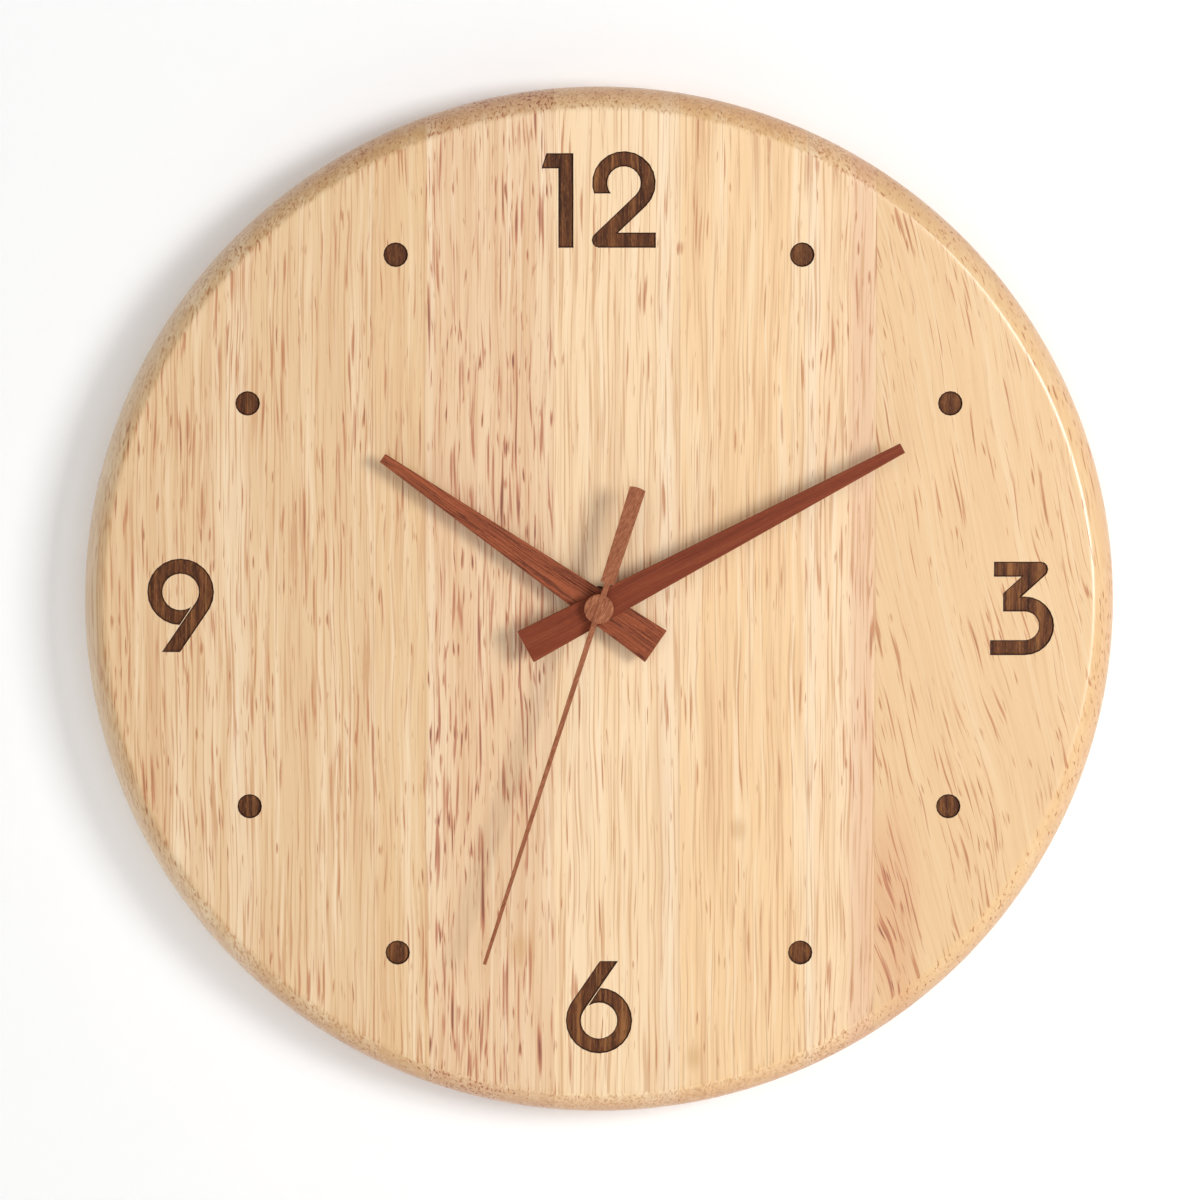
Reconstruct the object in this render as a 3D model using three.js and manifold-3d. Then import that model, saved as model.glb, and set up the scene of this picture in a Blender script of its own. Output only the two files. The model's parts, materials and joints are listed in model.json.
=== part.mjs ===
// A round wooden wall clock, 300 mm across, with walnut numerals and hour dots let into the face,
// three wooden hands and a battery movement in a pocket behind the dial.
//
// Everything is laid out in the dial frame: x to the right, y towards twelve, z out of the wall,
// with the wall at z = 0 and the hands' arbor on the z axis. The group at the end turns that frame
// upright, so that z is up, and puts the origin on the wall at the nail that the clock hangs on.
import * as THREE from "three";
import { mergeVertices } from "three/addons/utils/BufferGeometryUtils.js";
import Module from "manifold-3d";

// Board
const BOARD_RADIUS = 150;
const BOARD_THICKNESS = 24;
const BOARD_SIDES = 56;
const RIM_FACETS = 3;
const BACK_EDGE_FACETS = 2;
const RIM_WIDTH = 6.5;
const RIM_BREAK = 25;
const BACK_EDGE_RADIUS = 3;
const DIAL_WEB = 5.5;
const POCKET_CLEARANCE = 2;
const POCKET_CORNER = 5;

// Numerals and dots, let into the face
const DOT_RADIUS = 3.25;
const DOT_RING_INSET = 32.6;
const DOT_RING_RADIUS = BOARD_RADIUS - DOT_RING_INSET;
const INLAY_DEPTH = 2.6;
const INLAY_THICKNESS = 2;
const INLAY_GAP = 0.15;
const STROKE = 3.75;
const CAP_HEIGHT = 26.6;
const TWELVE_FOOT_INSET = 13.4;
const SIX_OUTSET = 0.4;
const NINE_OUTSET = 4;
const THREE_OUTSET = 5.4;
const TWELVE_BASELINE = DOT_RING_RADIUS - TWELVE_FOOT_INSET;
const SIX_CENTRE = -DOT_RING_RADIUS - SIX_OUTSET;
const NINE_CENTRE = -DOT_RING_RADIUS - NINE_OUTSET;
const THREE_CENTRE = DOT_RING_RADIUS + THREE_OUTSET;

// Hands: lengths from the arbor, widths at the tail and at the tip
const HAND_THICKNESS = 1.6;
const HOUR_HAND = { tip: 76, tail: 20, tipWidth: 2.8, tailWidth: 11, angle: 304.7, bottom: 5 };
const MINUTE_HAND = { tip: 99, tail: 24, tipWidth: 3, tailWidth: 10, angle: 62.1, bottom: 8.2 };
const SECOND_HAND_ANGLE = 197.8;
const SECOND_HAND_BOTTOM = 11.6;
const SECOND_TIP = 108.5;
const SECOND_TIP_WIDTH = 1;
const SECOND_NEEDLE_WIDTH = 1.6;
const SECOND_NEEDLE_THICKNESS = 1.2;
const SECOND_CAP_RADIUS = 4.25;
const SECOND_CAP_THICKNESS = 1;
const WEIGHT_START = 7.9;
const WEIGHT_END = 36.5;
const WEIGHT_INNER_WIDTH = 4;
const WEIGHT_OUTER_WIDTH = 4.7;
const WEIGHT_ARCH = 0.4;

// Pipes and arbors on the hands' axis
const ARBOR_RADIUS = 0.45;
const MINUTE_PIPE_BORE = 0.8;
const MINUTE_PIPE_RADIUS = 1.5;
const HOUR_PIPE_BORE = 1.8;
const HOUR_PIPE_RADIUS = 2.5;
const BUSH_BORE = 2.8;
const BUSH_RADIUS = 4;
const BUSH_STAND = 3.6;
const BUSH_FLANGE_RADIUS = 5.6;
const BUSH_FLANGE = 1;
const PIPE_STAND = 0.2;
const PRESS_GAP = 0.1;
const FIT_GAP = 0.2;
const NUT_FLATS = 10;
const NUT_HEIGHT = 2.5;
const WASHER_RADIUS = 5.7;
const WASHER_THICKNESS = 0.6;
const RUBBER_RADIUS = 9;
const RUBBER_THICKNESS = 1;
const HAND_BUSH_WALL = 0.8;
const HAND_BUSH_FLANGE = 0.45;
const HAND_BUSH_LIP = 1.1;
const SECOND_TUBE_RADIUS = 1.3;
const SECOND_TUBE_LENGTH = 1.3;

// Movement case: as wide as the cell and its two contacts
const CASE_THICKNESS = 16.5;
const CASE_CORNER = 3;
const CASE_WALL = 1;
const COVER_THICKNESS = 1;
const PARTITION_Y = -10;
const BATTERY_RADIUS = 7.1;
const BATTERY_LENGTH = 50.5;
const CELL_END_ROOM = 2.75;
const CASE_SIDE = BATTERY_LENGTH + 2 * CELL_END_ROOM;
const BATTERY_NUB_RADIUS = 2.75;
const BATTERY_NUB_LENGTH = 1.4;
const BATTERY_GAP = 0.3;
const BATTERY_DROP = 0.5;
const CONTACT_THICKNESS = 0.4;
const CONTACT_WIDTH = 12;
const CONTACT_HEIGHT = 9;
const CONTACT_TAIL_WIDTH = 1.3;
const FINGER_NOTCH_RADIUS = 7;
const POST_RADIUS = 1.6;
const POST_INSET = 2.4;
const BEARING_RADIUS = 1.4;
const PIVOT_RADIUS = 0.4;
const PIVOT_GAP = 0.2;
const STUD_RADIUS = 0.7;

// Wheels: one layer is a wheel and the space before the next
const LAYER_PITCH = 1.4;
const WHEEL_THICKNESS = 0.8;
const FIRST_LAYER_GAP = 0.5;
const PLATE_THICKNESS = 1;
const PLATE_EDGE_GAP = 0.6;
const PLATE_TOP_Y = 15.8;
const PLATE_CORNER = 1;
const ADDENDUM = 0.85;
const DEDENDUM = 1.2;
const BACKLASH = 0.16;
const TIP_SHARE = 0.5;
const ROOT_SHARE = 1.25;
const TEETH = {
  rotorPinion: 7,
  intermediateWheel: 42,
  intermediatePinion: 7,
  secondsWheel: 35,
  secondsPinion: 8,
  thirdWheel: 60,
  thirdPinion: 8,
  centreWheel: 64,
  cannonPinion: 10,
  minuteWheel: 30,
  minutePinion: 8,
  hourWheel: 32,
  settingPinion: 10,
};
const INTERMEDIATE_DISTANCE = 8.6;
const INTERMEDIATE_ANGLE = 60;
const ROTOR_DISTANCE = 7.84;
const ROTOR_ANGLE = 20;
const THIRD_DISTANCE = 10.2;
const THIRD_ANGLE = 0;
const MOTION_DISTANCE = 8.5;
const MOTION_ANGLE = 180;
const HUB_RADIUS = 1.6;

// Stepping motor and circuit
const MAGNET_RADIUS = 3;
const MAGNET_HEIGHT = 2;
const MAGNET_GAP = 0.4;
const STATOR_THICKNESS = 1;
const STATOR_PAD_RADIUS = 5.6;
const STATOR_ARM = 4;
const STATOR_NECK = 0.5;
const STATOR_SLOT = 0.9;
const STATOR_LEFT = -8.5;
const STATOR_RIGHT = 23.5;
const COIL_Y = 22;
const CORE_WIDTH = 3;
const CORE_THICKNESS = 1;
const BOBBIN_FLANGE = 0.8;
const BOBBIN_HALF = 3.2;
const BOBBIN_TUBE_RADIUS = 2.3;
const WINDING_RADIUS = 3;
const MOTOR_SCREW_RADIUS = 0.8;
const MOTOR_SCREW_HEAD = 1.5;
const MOTOR_SCREW_LENGTH = 6;
const BOARD_LEFT = -26.3;
const BOARD_RIGHT = -10;
const BOARD_LOW = 3.4;
const BOARD_HIGH = 15.4;
const CIRCUIT_THICKNESS = 1;
const CRYSTAL_RADIUS = 1;
const CRYSTAL_LENGTH = 6;
const CHIP_RADIUS = 2.4;
const CHIP_HEIGHT = 1;
const CHIP_CROWN_RADIUS = 1.4;
const CHIP_SHOULDER = 0.2;

// Setting knob
const KNOB_RADIUS = 6;
const KNOB_THICKNESS = 2.2;
const KNOB_RIBS = 18;
const KNOB_RIB_DEPTH = 0.35;
const KNOB_GAP = 0.6;
const KNOB_SHAFT_RADIUS = 1.3;
const KNOB_SOCKET_DEPTH = 1.4;

// Keyhole hanger
const HANG_HEIGHT = 70;
const HANGER_WIDTH = 16;
const HANGER_LENGTH = 46;
const HANGER_THICKNESS = 1.2;
const HANGER_INSET = 0.3;
const HANGER_CORNER = 3;
const KEYHOLE_ENTRY_RADIUS = 4.6;
const KEYHOLE_SLOT_RADIUS = 2.6;
const KEYHOLE_DROP = 9;
const NAIL_POCKET_DEPTH = 6.5;
const NAIL_POCKET_WIDTH = 12;
const HANGER_SCREW_DISTANCE = 18.5;
const HANGER_SCREW_RADIUS = 1.4;
const HANGER_SCREW_HEAD = 2.8;
const HANGER_SCREW_LENGTH = 11;

const FULL_TURN = 2 * Math.PI;
const RUNNING_GAP = 0.3;
const OVERRUN = 1;

// Heights above the wall
const POCKET_FLOOR = BOARD_THICKNESS - DIAL_WEB;
const CASE_FRONT = POCKET_FLOOR - RUBBER_THICKNESS;
const CASE_BACK = CASE_FRONT - CASE_THICKNESS;
const CASE_INSIDE = CASE_FRONT - CASE_WALL;
const COVER_INSIDE = CASE_BACK + COVER_THICKNESS;
const PLATE_BACK = layer(2) + WHEEL_THICKNESS + MAGNET_HEIGHT + FIT_GAP;
const PLATE_FRONT = PLATE_BACK + PLATE_THICKNESS;
const STATOR_BACK = PLATE_BACK - STATOR_THICKNESS;
const CORE_BACK = STATOR_BACK - CORE_THICKNESS;
const NUT_TOP = BOARD_THICKNESS + WASHER_THICKNESS + NUT_HEIGHT;
const BUSH_TOP = BOARD_THICKNESS + BUSH_STAND;
const HOUR_HAND_BACK = BOARD_THICKNESS + HOUR_HAND.bottom;
const MINUTE_HAND_BACK = BOARD_THICKNESS + MINUTE_HAND.bottom;
const SECOND_HAND_BACK = BOARD_THICKNESS + SECOND_HAND_BOTTOM;
const INLAY_FLOOR = BOARD_THICKNESS - INLAY_DEPTH;

// Gear centres
const ARBOR = new THREE.Vector2(0, 0);
const INTERMEDIATE = away(ARBOR, INTERMEDIATE_DISTANCE, INTERMEDIATE_ANGLE);
const ROTOR = away(INTERMEDIATE, ROTOR_DISTANCE, ROTOR_ANGLE);
const THIRD = away(ARBOR, THIRD_DISTANCE, THIRD_ANGLE);
const MOTION = away(ARBOR, MOTION_DISTANCE, MOTION_ANGLE);
const MODULE_ROTOR = gearModule(ROTOR_DISTANCE, TEETH.rotorPinion, TEETH.intermediateWheel);
const MODULE_SECONDS = gearModule(INTERMEDIATE_DISTANCE, TEETH.intermediatePinion, TEETH.secondsWheel);
const MODULE_THIRD = gearModule(THIRD_DISTANCE, TEETH.secondsPinion, TEETH.thirdWheel);
const MODULE_CENTRE = gearModule(THIRD_DISTANCE, TEETH.thirdPinion, TEETH.centreWheel);
const MODULE_MINUTE = gearModule(MOTION_DISTANCE, TEETH.cannonPinion, TEETH.minuteWheel);
const MODULE_HOUR = gearModule(MOTION_DISTANCE, TEETH.minutePinion, TEETH.hourWheel);
const SETTING_DISTANCE = (MODULE_MINUTE * (TEETH.minuteWheel + TEETH.settingPinion)) / 2;
const SETTING = away(MOTION, SETTING_DISTANCE, MOTION_ANGLE);

const wasm = await Module();
wasm.setup();

const WOOD = finish(0xebc297, 0.5, 0);
const WALNUT = finish(0x5f3d24, 0.55, 0);
const HAND_WOOD = finish(0x8a4a30, 0.5, 0);
const STEEL = finish(0xb9bcc0, 0.35, 1);
const BRASS = finish(0xc9a24b, 0.3, 1);
const COPPER = finish(0xb5673a, 0.4, 1);
const RUBBER = finish(0x222222, 0.8, 0);
const CASE_PLASTIC = finish(0x1d1d1f, 0.5, 0);
const GEAR_PLASTIC = finish(0xf1efe6, 0.45, 0);
const KNOB_PLASTIC = finish(0xd9d4c6, 0.5, 0);
const BOBBIN_PLASTIC = finish(0xe6e1d2, 0.5, 0);
const MAGNET = finish(0x3a3a3d, 0.45, 0.6);
const CIRCUIT = finish(0x2f6b3d, 0.5, 0);
const RESIN = finish(0x101012, 0.4, 0);
const BATTERY_JACKET = finish(0x2c3e57, 0.35, 0);

function finish(color, roughness, metalness) {
  return new THREE.MeshStandardMaterial({ color, roughness, metalness });
}

// Height of the back face of wheel layer number n, counted from the cover; the gear plate lies
// between the second layer and the third.
function layer(n) {
  const start = n < 3 ? COVER_INSIDE + FIRST_LAYER_GAP : PLATE_FRONT + PLATE_EDGE_GAP;
  return start + (n < 3 ? n - 1 : n - 3) * LAYER_PITCH;
}

function radians(degrees) {
  return (degrees * Math.PI) / 180;
}

// The point at a distance from another, at an angle in degrees anticlockwise from the x axis.
function away(from, distance, degrees) {
  const turn = radians(degrees);
  return new THREE.Vector2(from.x + distance * Math.cos(turn), from.y + distance * Math.sin(turn));
}

// Solids

// A closed solid from a geometry, whichever way its faces were wound.
function solidOf(geometry) {
  const loose = new THREE.BufferGeometry();
  const spread = geometry.index ? geometry.toNonIndexed() : geometry;
  loose.setAttribute("position", spread.getAttribute("position"));
  const merged = mergeVertices(loose, 1e-4);
  const corners = merged.index.array;
  const kept = [];
  for (let i = 0; i < corners.length; i += 3) {
    const [a, b, c] = [corners[i], corners[i + 1], corners[i + 2]];
    if (a !== b && b !== c && c !== a) kept.push([a, b, c]);
  }
  const build = (triangles) =>
    new wasm.Manifold(
      new wasm.Mesh({
        numProp: 3,
        vertProperties: merged.attributes.position.array,
        triVerts: new Uint32Array(triangles.flat()),
      }),
    );
  const made = build(kept);
  return made.volume() > 0 ? made : build(kept.map(([a, b, c]) => [a, c, b]));
}

function join(...solids) {
  return solids.reduce((sum, next) => sum.add(next));
}

function cut(solid, ...tools) {
  return tools.reduce((rest, tool) => rest.subtract(tool), solid);
}

function prism(outline, z, height, curveSegments = 8) {
  const shape = outline instanceof THREE.Shape ? outline : new THREE.Shape(outline);
  const options = { depth: height, bevelEnabled: false, curveSegments };
  return solidOf(new THREE.ExtrudeGeometry(shape, options).translate(0, 0, z));
}

// A solid of revolution about the z axis through a point, from [radius, z] pairs. A profile that
// doesn't touch the axis closes on itself.
function turned(profile, sides, centre = ARBOR) {
  const closed = profile[0][0] === 0 ? profile : [...profile, profile[0]];
  const points = closed.map(([radius, z]) => new THREE.Vector2(radius, z));
  const lathe = new THREE.LatheGeometry(points, sides).rotateX(Math.PI / 2);
  return solidOf(lathe.translate(centre.x, centre.y, 0));
}

function rod(radius, z, height, sides = 10, centre = ARBOR) {
  const top = z + height;
  return turned([[0, z], [radius, z], [radius, top], [0, top]], sides, centre);
}

function ring(bore, radius, z, height, sides = 16, centre = ARBOR) {
  const top = z + height;
  return turned([[bore, z], [radius, z], [radius, top], [bore, top]], sides, centre);
}

function block(left, right, low, high, back, front) {
  const box = new THREE.BoxGeometry(right - left, high - low, front - back);
  return solidOf(box.translate((left + right) / 2, (low + high) / 2, (back + front) / 2));
}

// A rectangle with round corners, as an outline.
function roundedRectangle(left, right, low, high, corner) {
  const shape = new THREE.Shape();
  shape.moveTo(left + corner, low);
  shape.absarc(right - corner, low + corner, corner, -Math.PI / 2, 0);
  shape.absarc(right - corner, high - corner, corner, 0, Math.PI / 2);
  shape.absarc(left + corner, high - corner, corner, Math.PI / 2, Math.PI);
  shape.absarc(left + corner, low + corner, corner, Math.PI, 1.5 * Math.PI);
  return shape;
}

const clock = new THREE.Group();

// Adds one named piece to the clock.
function piece(name, solid, material) {
  const mesh = solid.getMesh();
  const geometry = new THREE.BufferGeometry();
  geometry.setAttribute("position", new THREE.BufferAttribute(mesh.vertProperties, 3));
  geometry.setIndex(new THREE.BufferAttribute(mesh.triVerts, 1));
  const made = new THREE.Mesh(geometry, material);
  made.name = name;
  clock.add(made);
  return made;
}

// Numerals, each built from strokes of one width. Every stroke can be grown all round by a gap,
// which turns the numeral into the pocket that it lies in.

function bar(from, to, grow) {
  const along = to.clone().sub(from).normalize();
  const side = new THREE.Vector2(-along.y, along.x).multiplyScalar(STROKE / 2 + grow);
  const start = from.clone().addScaledVector(along, -grow);
  const end = to.clone().addScaledVector(along, grow);
  const corners = [
    start.clone().add(side),
    start.clone().sub(side),
    end.clone().sub(side),
    end.clone().add(side),
  ];
  return prism(corners, INLAY_FLOOR, inlayHeight(grow));
}

function spot(centre, grow) {
  return rod(STROKE / 2 + grow, INLAY_FLOOR, inlayHeight(grow), 12, centre);
}

function inlayHeight(grow) {
  return grow > 0 ? INLAY_DEPTH + OVERRUN : INLAY_THICKNESS;
}

// A band round a centre, from one angle to another in degrees, anticlockwise.
function band(centre, radius, from, to, grow, steps) {
  const half = STROKE / 2 + grow;
  const angles = [];
  for (let i = 0; i <= steps; i += 1) angles.push(from + ((to - from) * i) / steps);
  const outside = angles.map((angle) => away(centre, radius + half, angle));
  const inside = angles.map((angle) => away(centre, radius - half, angle)).reverse();
  return prism([...outside, ...inside], INLAY_FLOOR, inlayHeight(grow));
}

// The angle in degrees of the point where a line from outside touches a circle, on the side that
// lies anticlockwise (side 1) or clockwise (side -1) of the line to the centre.
function touchAngle(outside, centre, radius, side) {
  const reach = outside.clone().sub(centre);
  const opening = Math.acos(radius / reach.length());
  return ((Math.atan2(reach.y, reach.x) + side * opening) * 180) / Math.PI;
}

const ONE_STEM_X = -9.55;
const ONE_FLAG_TIP = -16.2;
const ONE_FLAG_SLANT = 1.3;

function numeralOne(grow) {
  const foot = new THREE.Vector2(ONE_STEM_X, TWELVE_BASELINE);
  const top = new THREE.Vector2(ONE_STEM_X, TWELVE_BASELINE + CAP_HEIGHT);
  const underside = top.y - STROKE - grow;
  const flag = [
    new THREE.Vector2(ONE_FLAG_TIP - grow, underside),
    new THREE.Vector2(ONE_STEM_X, underside),
    new THREE.Vector2(ONE_STEM_X, top.y + grow),
    new THREE.Vector2(ONE_FLAG_TIP - grow + ONE_FLAG_SLANT, top.y + grow),
  ];
  return join(bar(foot, top, grow), prism(flag, INLAY_FLOOR, inlayHeight(grow)));
}

const TWO_BOWL_X = 7.2;
const TWO_BOWL_RADIUS = 7;
const TWO_CORNER_X = 0.1;
const TWO_FOOT_END = 16.1;
const TWO_TERMINAL = 2.7;
const TWO_BOWL_END = 220;
const TWO_OVERSHOOT = 0.6;

function numeralTwo(grow) {
  const bowlTop = TWELVE_BASELINE + CAP_HEIGHT + TWO_OVERSHOOT;
  const bowl = new THREE.Vector2(TWO_BOWL_X, bowlTop - STROKE / 2 - TWO_BOWL_RADIUS);
  const corner = new THREE.Vector2(TWO_CORNER_X, TWELVE_BASELINE + STROKE / 2);
  const footEnd = new THREE.Vector2(TWO_FOOT_END, corner.y);
  const touch = touchAngle(corner, bowl, TWO_BOWL_RADIUS, 1);
  const reach = TWO_BOWL_RADIUS + STROKE;
  const terminal = block(
    bowl.x - 2 * reach,
    bowl.x,
    bowl.y - 2 * reach,
    bowl.y - TWO_TERMINAL - grow,
    INLAY_FLOOR - OVERRUN,
    BOARD_THICKNESS + 2 * OVERRUN,
  );
  return join(
    cut(band(bowl, TWO_BOWL_RADIUS, touch, TWO_BOWL_END, grow, 16), terminal),
    bar(corner, away(bowl, TWO_BOWL_RADIUS, touch), grow),
    spot(corner, grow),
    bar(corner, footEnd, grow),
  );
}

const THREE_BAR_START = -7.9;
const THREE_CORNER_X = 5.35;
const THREE_WAIST = 1.3;
const THREE_WAIST_START = -5.2;
const THREE_WAIST_BITE = 0.5;
const THREE_BOWL_X = 0.8;
const THREE_FOOT_START = -8.9;
const THREE_LOW = -0.9;

function numeralThree(grow) {
  const at = (x, y) => new THREE.Vector2(THREE_CENTRE + x, THREE_LOW + y);
  const high = (CAP_HEIGHT - STROKE) / 2;
  const corner = at(THREE_CORNER_X, high);
  const radius = (high + THREE_WAIST) / 2;
  const bowl = at(THREE_BOWL_X, THREE_WAIST - radius);
  const waist = at(THREE_WAIST_START - THREE_WAIST_BITE, THREE_WAIST);
  const trim = block(
    waist.x - 2 * STROKE,
    THREE_CENTRE + THREE_WAIST_START - grow,
    THREE_LOW - STROKE,
    THREE_LOW + THREE_WAIST + 2 * STROKE,
    INLAY_FLOOR - OVERRUN,
    BOARD_THICKNESS + 2 * OVERRUN,
  );
  return join(
    bar(at(THREE_BAR_START, high), corner, grow),
    spot(corner, grow),
    cut(bar(waist, corner, grow), trim),
    bar(at(THREE_WAIST_START, THREE_WAIST), at(THREE_BOWL_X, THREE_WAIST), grow),
    band(bowl, radius, -90, 90, grow, 12),
    bar(at(THREE_FOOT_START, -high), at(THREE_BOWL_X, -high), grow),
  );
}

const SIX_RING_RADIUS = 7.5;
const SIX_TAIL_X = 2.7;
const SIX_SLIT = 0.8;

// The six stands on its ring; the nine is the same numeral turned half round.
function numeralSix(grow) {
  const high = CAP_HEIGHT / 2;
  const centre = new THREE.Vector2(0, SIX_RING_RADIUS + STROKE / 2 - high);
  const tail = new THREE.Vector2(SIX_TAIL_X, high);
  const touch = touchAngle(tail, centre, SIX_RING_RADIUS, 1);
  const foot = away(centre, SIX_RING_RADIUS, touch);
  const beyond = tail.clone().add(tail.clone().sub(foot).normalize().multiplyScalar(STROKE));
  const reach = SIX_RING_RADIUS + STROKE;
  const top = block(
    -reach,
    reach,
    high + grow,
    high + reach,
    INLAY_FLOOR - OVERRUN,
    BOARD_THICKNESS + 2 * OVERRUN,
  );
  const inward = foot.clone().sub(centre).normalize().multiplyScalar(-(STROKE + SIX_SLIT) / 2);
  const along = tail.clone().sub(foot).normalize();
  const slitStart = foot.clone().add(inward);
  const slitEnd = slitStart.clone().addScaledVector(along, reach * 2);
  const side = inward.clone().normalize().multiplyScalar(SIX_SLIT / 2 - grow);
  const slit = [
    slitStart.clone().add(side),
    slitStart.clone().sub(side),
    slitEnd.clone().sub(side),
    slitEnd.clone().add(side),
  ];
  const circle = ring(
    SIX_RING_RADIUS - STROKE / 2 - grow,
    SIX_RING_RADIUS + STROKE / 2 + grow,
    INLAY_FLOOR,
    inlayHeight(grow),
    24,
    centre,
  );
  const open = cut(circle, prism(slit, INLAY_FLOOR - OVERRUN, INLAY_DEPTH + 3 * OVERRUN));
  return join(open, cut(bar(foot, beyond, grow), top));
}

function placedSix(grow) {
  return numeralSix(grow).translate([0, SIX_CENTRE, 0]);
}

function placedNine(grow) {
  return numeralSix(grow).rotate([0, 0, 180]).translate([NINE_CENTRE, 0, 0]);
}

function hourDot(hour, grow) {
  const centre = away(ARBOR, DOT_RING_RADIUS, 90 - hour * 30);
  return rod(DOT_RADIUS + grow, INLAY_FLOOR, inlayHeight(grow), 16, centre);
}

const NUMERALS = {
  numeral_one: numeralOne,
  numeral_two: numeralTwo,
  numeral_three: numeralThree,
  numeral_six: placedSix,
  numeral_nine: placedNine,
};
// Every hour that has no numeral.
const DOT_HOURS = [...Array(12).keys()].filter((hour) => hour % 3 !== 0);

// Board: a turned disc with a broken-edged rim, a square pocket for the movement, the numerals'
// pockets and the hanger's recess with the nail's pocket under it.

function boardBlank() {
  const start = radians(90 - RIM_BREAK);
  const rimRadius = RIM_WIDTH / (1 - Math.cos(start));
  const rimCentre = BOARD_THICKNESS - rimRadius * Math.sin(start);
  const profile = [[0, 0]];
  for (let i = 0; i <= BACK_EDGE_FACETS; i += 1) {
    const turn = ((Math.PI / 2) * i) / BACK_EDGE_FACETS;
    const radius = BOARD_RADIUS - BACK_EDGE_RADIUS * (1 - Math.sin(turn));
    profile.push([radius, BACK_EDGE_RADIUS * (1 - Math.cos(turn))]);
  }
  for (let i = 0; i <= RIM_FACETS; i += 1) {
    const turn = (start * i) / RIM_FACETS;
    const radius = BOARD_RADIUS - rimRadius * (1 - Math.cos(turn));
    profile.push([radius, rimCentre + rimRadius * Math.sin(turn)]);
  }
  profile.push([0, BOARD_THICKNESS]);
  return turned(profile, BOARD_SIDES);
}

const HANGER_MIDDLE = HANG_HEIGHT - KEYHOLE_DROP / 2;

function hangerOutline(grow) {
  const half = HANGER_WIDTH / 2 + grow;
  const reach = HANGER_LENGTH / 2 + grow;
  return roundedRectangle(-half, half, HANGER_MIDDLE - reach, HANGER_MIDDLE + reach, HANGER_CORNER);
}

function nailPocket() {
  const half = NAIL_POCKET_WIDTH / 2;
  const low = HANG_HEIGHT - KEYHOLE_DROP - half;
  const back = HANGER_INSET + HANGER_THICKNESS;
  const outline = roundedRectangle(-half, half, low, HANG_HEIGHT + half, half - FIT_GAP);
  return prism(outline, back - FIT_GAP, NAIL_POCKET_DEPTH + FIT_GAP, 5);
}

function screwPlaces() {
  return {
    hanger_screw_upper: new THREE.Vector2(0, HANGER_MIDDLE + HANGER_SCREW_DISTANCE),
    hanger_screw_lower: new THREE.Vector2(0, HANGER_MIDDLE - HANGER_SCREW_DISTANCE),
  };
}

// A countersunk wood screw, driven in from the wall side, with its head flush with the hanger.
function hangerScrew(centre, grow) {
  const head = HANGER_INSET - (grow > 0 ? OVERRUN : 0);
  const neck = HANGER_INSET + HANGER_SCREW_HEAD - HANGER_SCREW_RADIUS;
  const end = HANGER_INSET + HANGER_SCREW_LENGTH + grow;
  const point = HANGER_SCREW_RADIUS;
  const profile = [
    [0, head],
    [HANGER_SCREW_HEAD + grow, head],
    [HANGER_SCREW_HEAD + grow, HANGER_INSET + grow],
    [HANGER_SCREW_RADIUS + grow, neck + grow],
    [HANGER_SCREW_RADIUS + grow, end - point],
    [0, end],
  ];
  const clean = grow > 0 ? profile : profile.filter((_, i) => i !== 2);
  return turned(clean, 12, centre);
}

function makeBoard() {
  const half = CASE_SIDE / 2 + POCKET_CLEARANCE;
  const pocketOutline = roundedRectangle(-half, half, -half, half, POCKET_CORNER);
  const pocket = prism(pocketOutline, -OVERRUN, POCKET_FLOOR + OVERRUN, 5);
  const hole = rod(BUSH_RADIUS + FIT_GAP, 0, BOARD_THICKNESS + OVERRUN, 16);
  const recess = prism(hangerOutline(FIT_GAP), -OVERRUN, HANGER_INSET + HANGER_THICKNESS + OVERRUN, 4);
  const inlays = [
    ...Object.values(NUMERALS).map((numeral) => numeral(INLAY_GAP)),
    ...DOT_HOURS.map((hour) => hourDot(hour, INLAY_GAP)),
  ];
  const pilots = Object.values(screwPlaces()).map((place) => hangerScrew(place, FIT_GAP));
  piece("dial_board", cut(boardBlank(), pocket, hole, recess, nailPocket(), ...pilots, ...inlays), WOOD);
}

function makeInlays() {
  for (const [name, numeral] of Object.entries(NUMERALS)) piece(name, numeral(0), WALNUT);
  for (const hour of DOT_HOURS) piece(`hour_dot_${hour}`, hourDot(hour, 0), WALNUT);
}

function makeHanger() {
  const entry = new THREE.Vector2(0, HANG_HEIGHT - KEYHOLE_DROP);
  const shank = new THREE.Vector2(0, HANG_HEIGHT);
  const low = HANGER_INSET - OVERRUN;
  const deep = HANGER_THICKNESS + 2 * OVERRUN;
  const slot = block(-KEYHOLE_SLOT_RADIUS, KEYHOLE_SLOT_RADIUS, entry.y, shank.y, low, low + deep);
  const strip = prism(hangerOutline(0), HANGER_INSET, HANGER_THICKNESS, 4);
  const heads = Object.values(screwPlaces()).map((place) => hangerScrew(place, PRESS_GAP));
  const keyhole = join(
    rod(KEYHOLE_ENTRY_RADIUS, low, deep, 16, entry),
    slot,
    rod(KEYHOLE_SLOT_RADIUS, low, deep, 12, shank),
  );
  piece("keyhole_hanger", cut(strip, keyhole, ...heads), STEEL);
  for (const [name, place] of Object.entries(screwPlaces())) piece(name, hangerScrew(place, 0), STEEL);
}

// Wheels

function gearModule(distance, teeth, otherTeeth) {
  return (2 * distance) / (teeth + otherTeeth);
}

// The angle in radians of a tooth of the driven wheel that lets it mesh with a driver whose tooth
// stands at driverPhase, when the driven wheel lies in the given direction from the driver.
function meshPhase(driverTeeth, driverPhase, drivenTeeth, direction) {
  return direction + Math.PI + (Math.PI - driverTeeth * (driverPhase - direction)) / drivenTeeth;
}

function directionTo(from, to) {
  return Math.atan2(to.y - from.y, to.x - from.x);
}

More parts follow.
